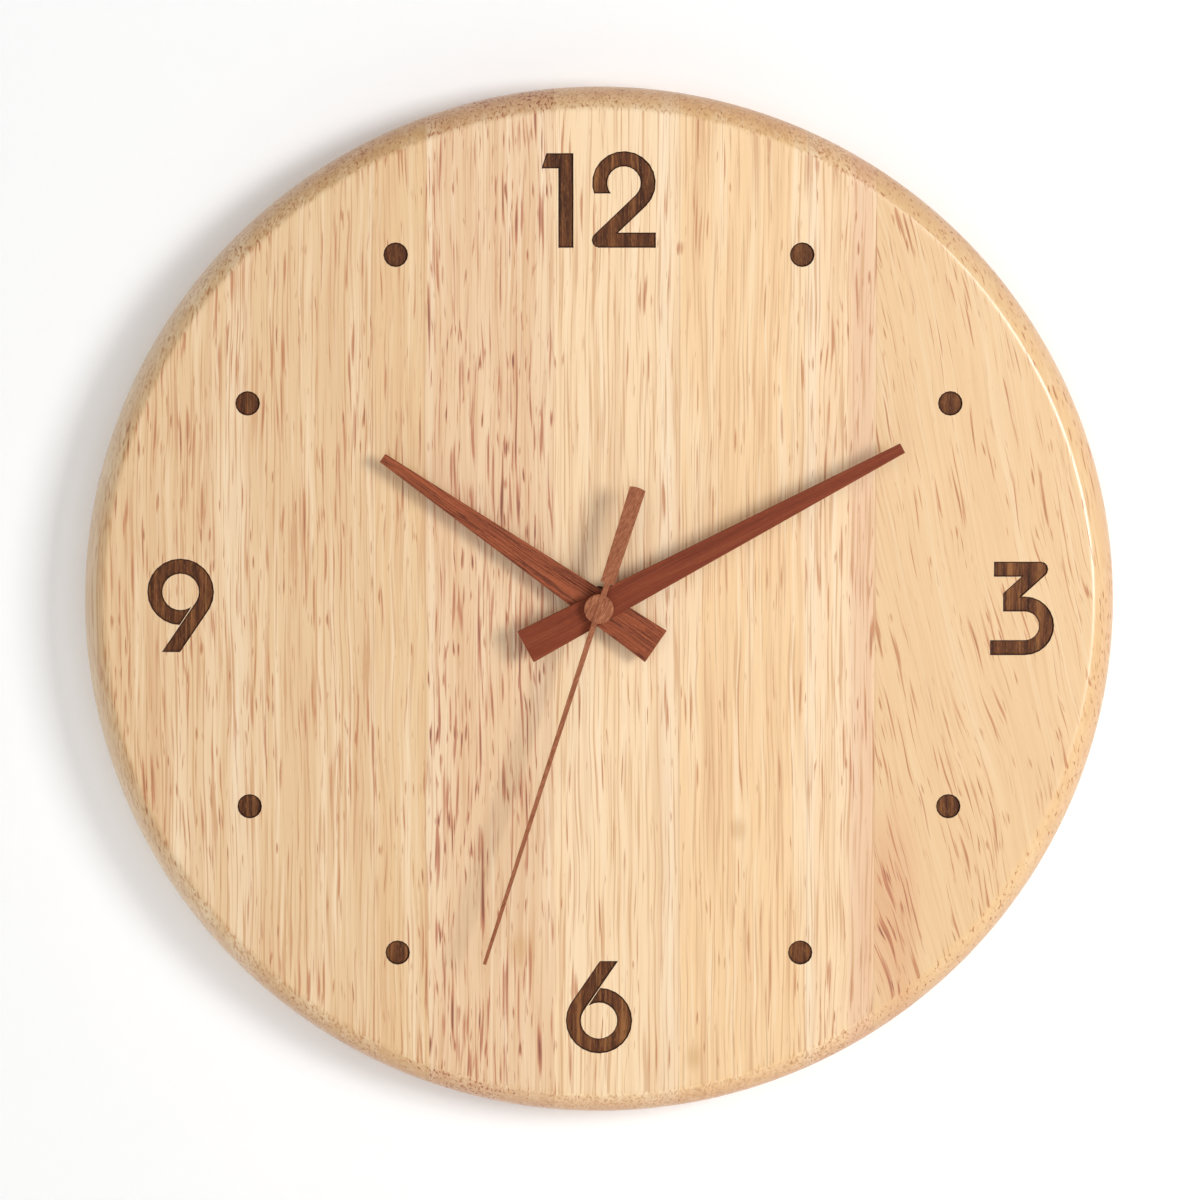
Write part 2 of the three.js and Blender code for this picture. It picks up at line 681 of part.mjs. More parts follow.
function tipRadius(teeth, module) {
  return module * (teeth / 2 + ADDENDUM);
}

// A toothed disc; every tooth has a flared foot and a narrow tip, with play on both flanks.
function gear(teeth, module, phase, z, height, centre) {
  const pitchRadius = (teeth * module) / 2;
  const tip = tipRadius(teeth, module);
  const root = pitchRadius - DEDENDUM * module;
  const half = ((Math.PI * module) / 2 - BACKLASH) / 2;
  const corners = [
    [root, -half * ROOT_SHARE],
    [tip, -half * TIP_SHARE],
    [tip, half * TIP_SHARE],
    [root, half * ROOT_SHARE],
  ];
  const outline = [];
  for (let tooth = 0; tooth < teeth; tooth += 1) {
    const middle = phase + (FULL_TURN * tooth) / teeth;
    for (const [radius, offset] of corners) {
      const turn = middle + offset / radius;
      outline.push(new THREE.Vector2(centre.x + radius * Math.cos(turn), centre.y + radius * Math.sin(turn)));
    }
  }
  return prism(outline, z, height);
}

function makeTrain() {
  const toRotor = directionTo(INTERMEDIATE, ROTOR);
  const toIntermediate = directionTo(ARBOR, INTERMEDIATE);
  const toThird = directionTo(ARBOR, THIRD);
  const toMotion = directionTo(ARBOR, MOTION);
  const bearing = CASE_BACK + RUNNING_GAP;
  const frontPivot = PLATE_FRONT - RUNNING_GAP;
  const wheel = (teeth, module, phase, level, centre) =>
    gear(teeth, module, phase, layer(level), WHEEL_THICKNESS, centre);

  const magnetBack = layer(2) + WHEEL_THICKNESS;
  const rotorPinion = gear(TEETH.rotorPinion, MODULE_ROTOR, 0, layer(1), magnetBack - layer(1), ROTOR);
  const rotorPivot = rod(PIVOT_RADIUS, bearing, frontPivot - bearing, 10, ROTOR);
  piece("rotor_pinion", join(rotorPinion, rotorPivot), STEEL);
  const magnet = ring(PIVOT_RADIUS + PRESS_GAP, MAGNET_RADIUS, magnetBack, MAGNET_HEIGHT, 16, ROTOR);
  piece("rotor_magnet", magnet, MAGNET);

  const driven = meshPhase(TEETH.rotorPinion, 0, TEETH.intermediateWheel, toRotor + Math.PI);
  piece(
    "intermediate_wheel",
    join(
      wheel(TEETH.intermediateWheel, MODULE_ROTOR, driven, 1, INTERMEDIATE),
      gear(
        TEETH.intermediatePinion,
        MODULE_SECONDS,
        0,
        layer(1) + WHEEL_THICKNESS / 2,
        LAYER_PITCH + WHEEL_THICKNESS / 2 + FIT_GAP,
        INTERMEDIATE,
      ),
      rod(PIVOT_RADIUS, bearing, frontPivot - bearing, 10, INTERMEDIATE),
    ),
    GEAR_PLASTIC,
  );

  const secondsPhase = meshPhase(TEETH.intermediatePinion, 0, TEETH.secondsWheel, toIntermediate + Math.PI);
  const pinionBack = layer(2) + WHEEL_THICKNESS / 2;
  piece(
    "seconds_wheel",
    join(
      wheel(TEETH.secondsWheel, MODULE_SECONDS, secondsPhase, 2, ARBOR),
      gear(
        TEETH.secondsPinion,
        MODULE_THIRD,
        0,
        pinionBack,
        layer(3) + WHEEL_THICKNESS + FIT_GAP - pinionBack,
        ARBOR,
      ),
      rod(ARBOR_RADIUS, bearing, SECOND_HAND_BACK - PRESS_GAP - bearing, 12),
    ),
    GEAR_PLASTIC,
  );

  const thirdPhase = meshPhase(TEETH.secondsPinion, 0, TEETH.thirdWheel, toThird);
  const thirdBack = PLATE_BACK + FIT_GAP;
  piece(
    "third_wheel",
    join(
      wheel(TEETH.thirdWheel, MODULE_THIRD, thirdPhase, 3, THIRD),
      gear(
        TEETH.thirdPinion,
        MODULE_CENTRE,
        0,
        layer(3) + WHEEL_THICKNESS / 2,
        LAYER_PITCH + WHEEL_THICKNESS / 2 + FIT_GAP,
        THIRD,
      ),
      rod(PIVOT_RADIUS, thirdBack, CASE_INSIDE - RUNNING_GAP - thirdBack, 10, THIRD),
    ),
    GEAR_PLASTIC,
  );

  const centrePhase = meshPhase(TEETH.thirdPinion, 0, TEETH.centreWheel, toThird + Math.PI);
  const sleeve = HUB_RADIUS + PRESS_GAP;
  piece(
    "centre_wheel",
    cut(
      wheel(TEETH.centreWheel, MODULE_CENTRE, centrePhase, 4, ARBOR),
      rod(sleeve, layer(4) - OVERRUN, WHEEL_THICKNESS + 2 * OVERRUN, 16),
    ),
    GEAR_PLASTIC,
  );

  const clutchBack = layer(4) + WHEEL_THICKNESS + PRESS_GAP;
  const clutchHeight = layer(5) - PRESS_GAP - clutchBack;
  piece("clutch_spring", ring(sleeve, 2 * HUB_RADIUS, clutchBack, clutchHeight, 16), BRASS);

  const cannonBack = layer(4) - RUNNING_GAP;
  const pipeTop = MINUTE_HAND_BACK + HAND_THICKNESS + PIPE_STAND;
  const cannonSleeve = rod(HUB_RADIUS, cannonBack, layer(5) - cannonBack + FIT_GAP, 16);
  piece(
    "cannon_pinion",
    cut(
      join(
        wheel(TEETH.cannonPinion, MODULE_MINUTE, 0, 5, ARBOR),
        cannonSleeve,
        rod(MINUTE_PIPE_RADIUS, layer(5), pipeTop - layer(5), 16),
      ),
      rod(MINUTE_PIPE_BORE, cannonBack - OVERRUN, pipeTop - cannonBack + 2 * OVERRUN, 12),
    ),
    STEEL,
  );

  const minutePhase = meshPhase(TEETH.cannonPinion, 0, TEETH.minuteWheel, toMotion);
  const pinionHeight = layer(6) + WHEEL_THICKNESS + FIT_GAP - layer(5);
  piece(
    "minute_wheel",
    cut(
      join(
        wheel(TEETH.minuteWheel, MODULE_MINUTE, minutePhase, 5, MOTION),
        gear(TEETH.minutePinion, MODULE_HOUR, 0, layer(5), pinionHeight, MOTION),
      ),
      rod(STUD_RADIUS + PIVOT_GAP, layer(5) - OVERRUN, pinionHeight + 2 * OVERRUN, 12, MOTION),
    ),
    GEAR_PLASTIC,
  );

  const hourPhase = meshPhase(TEETH.minutePinion, 0, TEETH.hourWheel, toMotion + Math.PI);
  const hourTop = HOUR_HAND_BACK + HAND_THICKNESS + PIPE_STAND;
  piece(
    "hour_wheel",
    cut(
      join(
        wheel(TEETH.hourWheel, MODULE_HOUR, hourPhase, 6, ARBOR),
        rod(HOUR_PIPE_RADIUS, layer(6), hourTop - layer(6), 16),
      ),
      rod(HOUR_PIPE_BORE, layer(6) - OVERRUN, hourTop - layer(6) + 2 * OVERRUN, 16),
    ),
    GEAR_PLASTIC,
  );

  const toSetting = directionTo(MOTION, SETTING);
  const settingPhase = meshPhase(TEETH.minuteWheel, minutePhase, TEETH.settingPinion, toSetting);
  const shaftBack = KNOB_BACK + KNOB_THICKNESS - KNOB_SOCKET_DEPTH;
  const shaftFront = layer(5) + WHEEL_THICKNESS + LAYER_PITCH;
  piece(
    "setting_shaft",
    join(
      wheel(TEETH.settingPinion, MODULE_MINUTE, settingPhase, 5, SETTING),
      rod(KNOB_SHAFT_RADIUS, shaftBack, layer(5) - shaftBack + FIT_GAP, 12, SETTING),
      rod(PIVOT_RADIUS, layer(5), shaftFront - layer(5), 10, SETTING),
    ),
    GEAR_PLASTIC,
  );
}

// Setting knob, sunk in a cup of the cover so that it stays clear of the wall

const KNOB_BACK = CASE_BACK;
const CUP_RADIUS = KNOB_RADIUS + KNOB_GAP + CASE_WALL;
const CUP_FLOOR = KNOB_BACK + KNOB_THICKNESS + RUNNING_GAP;

function makeKnob() {
  const outline = [];
  for (let rib = 0; rib < KNOB_RIBS; rib += 1) {
    const turn = (360 * rib) / KNOB_RIBS;
    outline.push(away(SETTING, KNOB_RADIUS, turn));
    outline.push(away(SETTING, KNOB_RADIUS - KNOB_RIB_DEPTH, turn + 180 / KNOB_RIBS));
  }
  const socket = rod(
    KNOB_SHAFT_RADIUS + PRESS_GAP,
    KNOB_BACK + KNOB_THICKNESS - KNOB_SOCKET_DEPTH - PRESS_GAP,
    KNOB_SOCKET_DEPTH + OVERRUN,
    12,
    SETTING,
  );
  piece("setting_knob", cut(prism(outline, KNOB_BACK, KNOB_THICKNESS), socket), KNOB_PLASTIC);
}

// Movement case, gear plate and cover

const HALF_CASE = CASE_SIDE / 2;
const CASE_LIMIT = HALF_CASE - CASE_WALL;
const MOTOR_SCREWS = {
  motor_screw_left: new THREE.Vector2(STATOR_LEFT + STATOR_ARM / 2, COIL_Y),
  motor_screw_right: new THREE.Vector2(STATOR_RIGHT - STATOR_ARM / 2, COIL_Y),
};
const BATTERY_Y = PARTITION_Y - CASE_WALL - BATTERY_GAP - BATTERY_RADIUS - BATTERY_DROP;
const BATTERY_Z = CASE_INSIDE - BATTERY_GAP - BATTERY_RADIUS;
const TAIL_BACK = STATOR_BACK - CONTACT_TAIL_WIDTH;

function platePosts() {
  const x = CASE_LIMIT - PLATE_EDGE_GAP - 2 * POST_RADIUS;
  const low = PARTITION_Y + PLATE_EDGE_GAP + POST_INSET;
  const high = PLATE_TOP_Y - POST_INSET;
  return [
    new THREE.Vector2(-x, low),
    new THREE.Vector2(x, low),
    new THREE.Vector2(-x, high),
    new THREE.Vector2(x, high),
  ];
}

function makeCase() {
  const outer = prism(
    roundedRectangle(-HALF_CASE, HALF_CASE, -HALF_CASE, HALF_CASE, CASE_CORNER),
    COVER_INSIDE,
    CASE_FRONT - COVER_INSIDE,
    4,
  );
  const deep = CASE_INSIDE + OVERRUN - COVER_INSIDE;
  const gearRoom = block(-CASE_LIMIT, CASE_LIMIT, PARTITION_Y, CASE_LIMIT, CASE_INSIDE - deep, CASE_INSIDE);
  const bayTop = PARTITION_Y - CASE_WALL;
  const batteryRoom = block(-CASE_LIMIT, CASE_LIMIT, -CASE_LIMIT, bayTop, CASE_INSIDE - deep, CASE_INSIDE);
  const slotReach = CASE_LIMIT - 3 * CONTACT_THICKNESS - FIT_GAP;
  const slotFront = STATOR_BACK + FIT_GAP;
  const slots = [-1, 1].map((side) => {
    const [left, right] = side < 0 ? [-CASE_LIMIT, -slotReach] : [slotReach, CASE_LIMIT];
    return block(left, right, bayTop - OVERRUN, PARTITION_Y + OVERRUN, COVER_INSIDE - OVERRUN, slotFront);
  });
  const notch = rod(
    FINGER_NOTCH_RADIUS,
    -HALF_CASE,
    2 * CASE_WALL,
    16,
    new THREE.Vector2(0, -COVER_INSIDE),
  ).rotate([-90, 0, 0]);
  const bushHole = rod(BUSH_RADIUS + FIT_GAP, CASE_INSIDE - OVERRUN, CASE_WALL + 2 * OVERRUN, 16);
  const column = (place, back) => rod(POST_RADIUS, back, CASE_INSIDE + FIT_GAP - back, 10, place);
  const posts = platePosts().map((place) => column(place, PLATE_FRONT));
  const motorPosts = Object.values(MOTOR_SCREWS).map((place) => column(place, PLATE_BACK));
  const motorHoles = Object.values(MOTOR_SCREWS).map((place) =>
    rod(MOTOR_SCREW_RADIUS + PRESS_GAP, PLATE_BACK - OVERRUN, MOTOR_SCREW_LENGTH + OVERRUN, 10, place),
  );
  const bearingHole = PIVOT_RADIUS + PIVOT_GAP;
  const thirdBack = CASE_INSIDE - 3 * RUNNING_GAP - OVERRUN;
  const thirdBearingHeight = CASE_INSIDE + FIT_GAP - thirdBack;
  const thirdBearing = ring(bearingHole, BEARING_RADIUS, thirdBack, thirdBearingHeight, 12, THIRD);
  const settingBack = layer(5) + WHEEL_THICKNESS + RUNNING_GAP;
  const settingBearing = cut(
    column(SETTING, settingBack),
    rod(bearingHole, settingBack - OVERRUN, LAYER_PITCH + OVERRUN, 10, SETTING),
  );
  const studBack = layer(5) - RUNNING_GAP;
  const stud = rod(STUD_RADIUS, studBack, CASE_INSIDE + FIT_GAP - studBack, 10, MOTION);
  const shell = cut(outer, gearRoom, batteryRoom, ...slots, notch, bushHole);
  piece(
    "movement_case",
    cut(join(shell, ...posts, ...motorPosts, thirdBearing, settingBearing, stud), ...motorHoles),
    CASE_PLASTIC,
  );
}

function makePlate() {
  const x = CASE_LIMIT - PLATE_EDGE_GAP;
  const bearingHole = PIVOT_RADIUS + PIVOT_GAP;
  const hole = (radius, place) => rod(radius, PLATE_BACK - OVERRUN, PLATE_THICKNESS + 2 * OVERRUN, 12, place);
  piece(
    "gear_plate",
    cut(
      prism(
        roundedRectangle(-x, x, PARTITION_Y + PLATE_EDGE_GAP, PLATE_TOP_Y, PLATE_CORNER),
        PLATE_BACK,
        PLATE_THICKNESS,
        3,
      ),
      hole(tipRadius(TEETH.secondsPinion, MODULE_THIRD) + RUNNING_GAP, ARBOR),
      hole(bearingHole, INTERMEDIATE),
      hole(bearingHole, ROTOR),
      hole(bearingHole, THIRD),
      hole(KNOB_SHAFT_RADIUS + RUNNING_GAP, SETTING),
    ),
    CASE_PLASTIC,
  );
}

function makeCover() {
  const bearingHole = PIVOT_RADIUS + PIVOT_GAP;
  const through = (radius, place, sides) =>
    rod(radius, CASE_BACK - OVERRUN, COVER_THICKNESS + 2 * OVERRUN, sides, place);
  const sheet = prism(
    roundedRectangle(-HALF_CASE, HALF_CASE, PARTITION_Y - CASE_WALL, HALF_CASE, CASE_CORNER),
    CASE_BACK,
    COVER_THICKNESS,
    4,
  );
  const cup = rod(CUP_RADIUS, CASE_BACK, CUP_FLOOR + CASE_WALL - CASE_BACK, 20, SETTING);
  const well = rod(CUP_RADIUS - CASE_WALL, CASE_BACK - OVERRUN, CUP_FLOOR + OVERRUN - CASE_BACK, 20, SETTING);
  const shaftHole = rod(
    KNOB_SHAFT_RADIUS + RUNNING_GAP,
    CASE_BACK,
    CUP_FLOOR + 2 * CASE_WALL - CASE_BACK,
    12,
    SETTING,
  );
  piece(
    "back_cover",
    cut(
      join(sheet, cup),
      well,
      shaftHole,
      through(ARBOR_RADIUS + PIVOT_GAP, ARBOR, 10),
      through(bearingHole, INTERMEDIATE, 10),
      through(bearingHole, ROTOR, 10),
    ),
    CASE_PLASTIC,
  );
}

// Stepping motor: the coil's core bridges the two legs of the stator, whose pad surrounds the
// rotor's magnet and is nearly cut through above and below it.

function makeMotor() {
  const back = STATOR_BACK;
  const pad = rod(STATOR_PAD_RADIUS, back, STATOR_THICKNESS, 18, ROTOR);
  const shoulderLow = ROTOR.y + MAGNET_RADIUS - MAGNET_GAP;
  const coreTop = COIL_Y + CORE_WIDTH / 2 + FIT_GAP;
  const shoulder = block(STATOR_LEFT, STATOR_RIGHT, shoulderLow, shoulderLow + STATOR_ARM, back, PLATE_BACK);
  const leftLeg = block(STATOR_LEFT, STATOR_LEFT + STATOR_ARM, shoulderLow, coreTop, back, PLATE_BACK);
  const rightLeg = block(STATOR_RIGHT - STATOR_ARM, STATOR_RIGHT, shoulderLow, coreTop, back, PLATE_BACK);
  const tall = STATOR_THICKNESS + 2 * OVERRUN;
  const holeRadius = MAGNET_RADIUS + MAGNET_GAP;
  const magnetHole = rod(holeRadius, back - OVERRUN, tall, 18, ROTOR);
  const slotHalf = STATOR_SLOT / 2;
  const slot = (low, high) =>
    block(ROTOR.x - slotHalf, ROTOR.x + slotHalf, low, high, back - OVERRUN, PLATE_BACK + OVERRUN);
  const upperSlot = slot(ROTOR.y + holeRadius + STATOR_NECK, ROTOR.y + 2 * STATOR_PAD_RADIUS);
  const lowerSlot = slot(ROTOR.y - 2 * STATOR_PAD_RADIUS, ROTOR.y - holeRadius - STATOR_NECK);
  const screwHoles = Object.values(MOTOR_SCREWS).map((place) =>
    rod(MOTOR_SCREW_RADIUS + PRESS_GAP, CORE_BACK - OVERRUN, tall + CORE_THICKNESS, 10, place),
  );
  piece(
    "motor_stator",
    cut(join(pad, shoulder, leftLeg, rightLeg), magnetHole, upperSlot, lowerSlot, ...screwHoles),
    STEEL,
  );

  const coreHalf = CORE_WIDTH / 2;
  const core = block(STATOR_LEFT, STATOR_RIGHT, COIL_Y - coreHalf, COIL_Y + coreHalf, CORE_BACK, back);
  piece("coil_core", cut(core, ...screwHoles), STEEL);

  const from = STATOR_LEFT + STATOR_ARM + FIT_GAP;
  const to = STATOR_RIGHT - STATOR_ARM - FIT_GAP;
  const middle = CORE_BACK + CORE_THICKNESS / 2;
  const flange = (left) =>
    block(
      left,
      left + BOBBIN_FLANGE,
      COIL_Y - BOBBIN_HALF,
      COIL_Y + BOBBIN_HALF,
      middle - BOBBIN_HALF,
      middle + BOBBIN_HALF,
    );
  const alongX = (solid) => solid.rotate([0, 90, 0]).translate([0, COIL_Y, middle]);
  const passage = block(
    from - OVERRUN,
    to + OVERRUN,
    COIL_Y - coreHalf - PRESS_GAP,
    COIL_Y + coreHalf + PRESS_GAP,
    CORE_BACK - PRESS_GAP,
    back + PRESS_GAP,
  );
  piece(
    "coil_bobbin",
    cut(
      join(flange(from), alongX(rod(BOBBIN_TUBE_RADIUS, from, to - from, 16)), flange(to - BOBBIN_FLANGE)),
      passage,
    ),
    BOBBIN_PLASTIC,
  );
  const windingStart = from + BOBBIN_FLANGE + PRESS_GAP;
  const windingLength = to - from - 2 * (BOBBIN_FLANGE + PRESS_GAP);
  piece(
    "coil_winding",
    alongX(ring(BOBBIN_TUBE_RADIUS + PRESS_GAP, WINDING_RADIUS, windingStart, windingLength, 16)),
    COPPER,
  );

  for (const [name, place] of Object.entries(MOTOR_SCREWS)) {
    const headBack = CORE_BACK - MOTOR_SCREW_RADIUS;
    const shankEnd = PLATE_BACK + MOTOR_SCREW_LENGTH - RUNNING_GAP;
    const screw = [
      [0, headBack],
      [MOTOR_SCREW_HEAD, headBack],
      [MOTOR_SCREW_HEAD, CORE_BACK],
      [MOTOR_SCREW_RADIUS, CORE_BACK],
      [MOTOR_SCREW_RADIUS, shankEnd],
      [0, shankEnd],
    ];
    piece(name, turned(screw, 8, place), STEEL);
  }
}

function makeCircuit() {
  const back = PLATE_BACK - CIRCUIT_THICKNESS;
  piece("circuit_board", block(BOARD_LEFT, BOARD_RIGHT, BOARD_LOW, BOARD_HIGH, back, PLATE_BACK), CIRCUIT);
  const crystal = rod(CRYSTAL_RADIUS, BOARD_LEFT + OVERRUN, CRYSTAL_LENGTH, 12)
    .rotate([0, 90, 0])
    .translate([0, BOARD_HIGH - 2 * CRYSTAL_RADIUS, back - CRYSTAL_RADIUS]);
  piece("quartz_crystal", crystal, STEEL);
  const chipCentre = new THREE.Vector2(BOARD_RIGHT - 1.5 * CHIP_RADIUS, (BOARD_LOW + BOARD_HIGH) / 2);
  const chip = [
    [0, back - CHIP_HEIGHT],
    [CHIP_CROWN_RADIUS, back - CHIP_HEIGHT + CHIP_SHOULDER],
    [CHIP_RADIUS, back],
    [0, back],
  ];
  piece("timing_chip", turned(chip, 12, chipCentre), RESIN);
}

// Battery and its two contacts: a strip at each end of the bay, with a tail that runs past the
// partition and ends in a foot on the circuit board.

function makeBattery() {
  const half = BATTERY_LENGTH / 2;
  const shoulder = -half + BATTERY_NUB_LENGTH;
  const profile = [
    [0, -half],
    [BATTERY_NUB_RADIUS, -half],
    [BATTERY_NUB_RADIUS, shoulder],
    [BATTERY_RADIUS, shoulder],
    [BATTERY_RADIUS, half],
    [0, half],
  ];
  const cell = turned(profile, 18).rotate([0, 90, 0]).translate([0, BATTERY_Y, BATTERY_Z]);
  piece("battery", cell, BATTERY_JACKET);

  const reach = CASE_LIMIT - PRESS_GAP;
  const inner = reach - CONTACT_THICKNESS;
  const halfWidth = CONTACT_WIDTH / 2;
  const halfHeight = CONTACT_HEIGHT / 2;
  const upright = (left, right) =>
    block(
      left,
      right,
      BATTERY_Y - halfWidth,
      BATTERY_Y + halfWidth,
      BATTERY_Z - halfHeight,
      BATTERY_Z + halfHeight,
    );
  const footBack = STATOR_BACK - CONTACT_THICKNESS;
  const footReach = BOARD_LOW + 3 * CONTACT_THICKNESS;
  const footEnd = BOARD_LEFT + 3 * CONTACT_TAIL_WIDTH;

  const boss = rod(BATTERY_NUB_RADIUS - 2 * PRESS_GAP, -inner, inner - half - BATTERY_GAP, 12)
    .rotate([0, 90, 0])
    .translate([0, BATTERY_Y, BATTERY_Z]);
  piece(
    "positive_contact",
    join(
      upright(-reach, -inner),
      boss,
      block(-reach, -inner, BATTERY_Y, footReach, TAIL_BACK, STATOR_BACK),
      block(-reach, BOARD_LEFT + CONTACT_THICKNESS, BOARD_LOW, footReach, footBack, STATOR_BACK),
    ),
    BRASS,
  );

  const leafReach = half + BATTERY_GAP;
  const leafFold = (inner - leafReach) / 2;
  const leaf = [
    new THREE.Vector2(inner + PRESS_GAP, BATTERY_Y - halfWidth),
    new THREE.Vector2(leafReach, BATTERY_Y),
    new THREE.Vector2(inner - leafFold, BATTERY_Y + halfWidth / 2),
    new THREE.Vector2(inner - leafFold + CONTACT_THICKNESS, BATTERY_Y + halfWidth / 2),
    new THREE.Vector2(leafReach + CONTACT_THICKNESS, BATTERY_Y),
    new THREE.Vector2(reach, BATTERY_Y - halfWidth),
  ];
  const railLow = PARTITION_Y + PRESS_GAP;
  const railHigh = railLow + CONTACT_THICKNESS;
  const railEnd = -(inner - 3 * CONTACT_THICKNESS);
  piece(
    "negative_contact",
    join(
      upright(inner, reach),
      prism(leaf, BATTERY_Z - halfHeight / 2, halfHeight),
      block(inner, reach, BATTERY_Y, railHigh, TAIL_BACK, STATOR_BACK),
      block(railEnd, reach, railLow, railHigh, TAIL_BACK, STATOR_BACK),
      block(railEnd, railEnd + CONTACT_THICKNESS, railLow, footReach, TAIL_BACK, STATOR_BACK),
      block(railEnd, footEnd, BOARD_LOW, footReach, footBack, STATOR_BACK),
    ),
    STEEL,
  );
}

// What clamps the movement to the dial

function makeFastening() {
  const bushBack = CASE_INSIDE - BUSH_FLANGE;
  const bush = [
    [BUSH_BORE, bushBack],
    [BUSH_FLANGE_RADIUS, bushBack],
    [BUSH_FLANGE_RADIUS, CASE_INSIDE],
    [BUSH_RADIUS, CASE_INSIDE],
    [BUSH_RADIUS, BUSH_TOP],
    [BUSH_BORE, BUSH_TOP],
  ];
  piece("threaded_bush", turned(bush, 16), BRASS);
  const washerBore = BUSH_RADIUS + FIT_GAP;
  piece("rubber_washer", ring(washerBore, RUBBER_RADIUS, CASE_FRONT, RUBBER_THICKNESS), RUBBER);
  piece("dial_washer", ring(washerBore, WASHER_RADIUS, BOARD_THICKNESS, WASHER_THICKNESS), BRASS);
  const nutBack = NUT_TOP - NUT_HEIGHT;
  const corner = NUT_FLATS / Math.sqrt(3);
  const outline = Array.from({ length: 6 }, (_, i) => away(ARBOR, corner, HOUR_HAND.angle + 60 * i));
  const bore = rod(BUSH_RADIUS + PRESS_GAP, nutBack - OVERRUN, NUT_HEIGHT + 2 * OVERRUN, 16);
  piece("dial_nut", cut(prism(outline, nutBack, NUT_HEIGHT), bore), BRASS);
}

// Hands

// A hand that points to twelve, tapered from its tail to its tip, with a hole for its bush.
function taperedHand({ tip, tail, tipWidth, tailWidth, angle }, back, hole) {
  const outline = [
    new THREE.Vector2(-tailWidth / 2, -tail),
    new THREE.Vector2(tailWidth / 2, -tail),
    new THREE.Vector2(tipWidth / 2, tip),
    new THREE.Vector2(-tipWidth / 2, tip),
  ];
  const bore = rod(hole, back - OVERRUN, HAND_THICKNESS + 2 * OVERRUN, 16);
  return cut(prism(outline, back, HAND_THICKNESS), bore).rotate([0, 0, -angle]);
}

function handBush(pipeRadius, handBack) {
  const bore = pipeRadius + PRESS_GAP;
  const outer = bore + HAND_BUSH_WALL;
  const back = handBack - HAND_BUSH_FLANGE;
  const top = handBack + HAND_THICKNESS;
  const profile = [
    [bore, back],
    [outer + HAND_BUSH_LIP, back],
    [outer + HAND_BUSH_LIP, handBack],
    [outer, handBack],
    [outer, top],
    [bore, top],
  ];
  return turned(profile, 16);
}

function makeHands() {
  const hourHole = HOUR_PIPE_RADIUS + HAND_BUSH_WALL + 2 * PRESS_GAP;
  const minuteHole = MINUTE_PIPE_RADIUS + HAND_BUSH_WALL + 2 * PRESS_GAP;
  piece("hour_hand", taperedHand(HOUR_HAND, HOUR_HAND_BACK, hourHole), HAND_WOOD);
  piece("hour_hand_bush", handBush(HOUR_PIPE_RADIUS, HOUR_HAND_BACK), BRASS);
  piece("minute_hand", taperedHand(MINUTE_HAND, MINUTE_HAND_BACK, minuteHole), HAND_WOOD);
  piece("minute_hand_bush", handBush(MINUTE_PIPE_RADIUS, MINUTE_HAND_BACK), BRASS);

  const back = SECOND_HAND_BACK;
  const needle = [
    new THREE.Vector2(-SECOND_NEEDLE_WIDTH / 2, -WEIGHT_START - OVERRUN),
    new THREE.Vector2(SECOND_NEEDLE_WIDTH / 2, -WEIGHT_START - OVERRUN),
    new THREE.Vector2(SECOND_NEEDLE_WIDTH / 2, 0),
    new THREE.Vector2(SECOND_TIP_WIDTH / 2, SECOND_TIP),
    new THREE.Vector2(-SECOND_TIP_WIDTH / 2, SECOND_TIP),
    new THREE.Vector2(-SECOND_NEEDLE_WIDTH / 2, 0),
  ];
  const weight = new THREE.Shape();
  weight.moveTo(WEIGHT_INNER_WIDTH / 2, -WEIGHT_START);
  weight.lineTo(-WEIGHT_INNER_WIDTH / 2, -WEIGHT_START);
  weight.lineTo(-WEIGHT_OUTER_WIDTH / 2, -WEIGHT_END);
  weight.quadraticCurveTo(0, -WEIGHT_END - 2 * WEIGHT_ARCH, WEIGHT_OUTER_WIDTH / 2, -WEIGHT_END);
  piece(
    "second_hand",
    join(
      prism(needle, back, SECOND_NEEDLE_THICKNESS),
      rod(SECOND_CAP_RADIUS, back, SECOND_CAP_THICKNESS, 32),
      prism(weight, back, SECOND_NEEDLE_THICKNESS, 6),
    ).rotate([0, 0, -SECOND_HAND_ANGLE]),
    HAND_WOOD,
  );
  const tubeBack = back - SECOND_TUBE_LENGTH;
  const tubeBore = ARBOR_RADIUS + PRESS_GAP;
  piece("second_hand_tube", ring(tubeBore, SECOND_TUBE_RADIUS, tubeBack, SECOND_TUBE_LENGTH, 12), STEEL);
}

makeBoard();
makeInlays();
makeHanger();
makeCase();
makePlate();
makeCover();
makeTrain();
makeKnob();
makeMotor();
makeCircuit();
makeBattery();
makeFastening();
makeHands();

clock.rotation.x = Math.PI / 2;
clock.position.z = -HANG_HEIGHT;
const wallClock = new THREE.Group();
wallClock.add(clock);

export default wallClock;
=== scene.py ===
"""Looks of a round wooden wall clock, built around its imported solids.

Lengths in the classes are millimetres and colours are 0 to 255, as a maker would note them down.
Meshes are made in metres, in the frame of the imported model: +Z up, +Y into the wall.
"""

import json
import logging
import math
from dataclasses import dataclass, field
from enum import Enum
from functools import reduce
from typing import Callable, Iterable, Optional, Sequence, Union

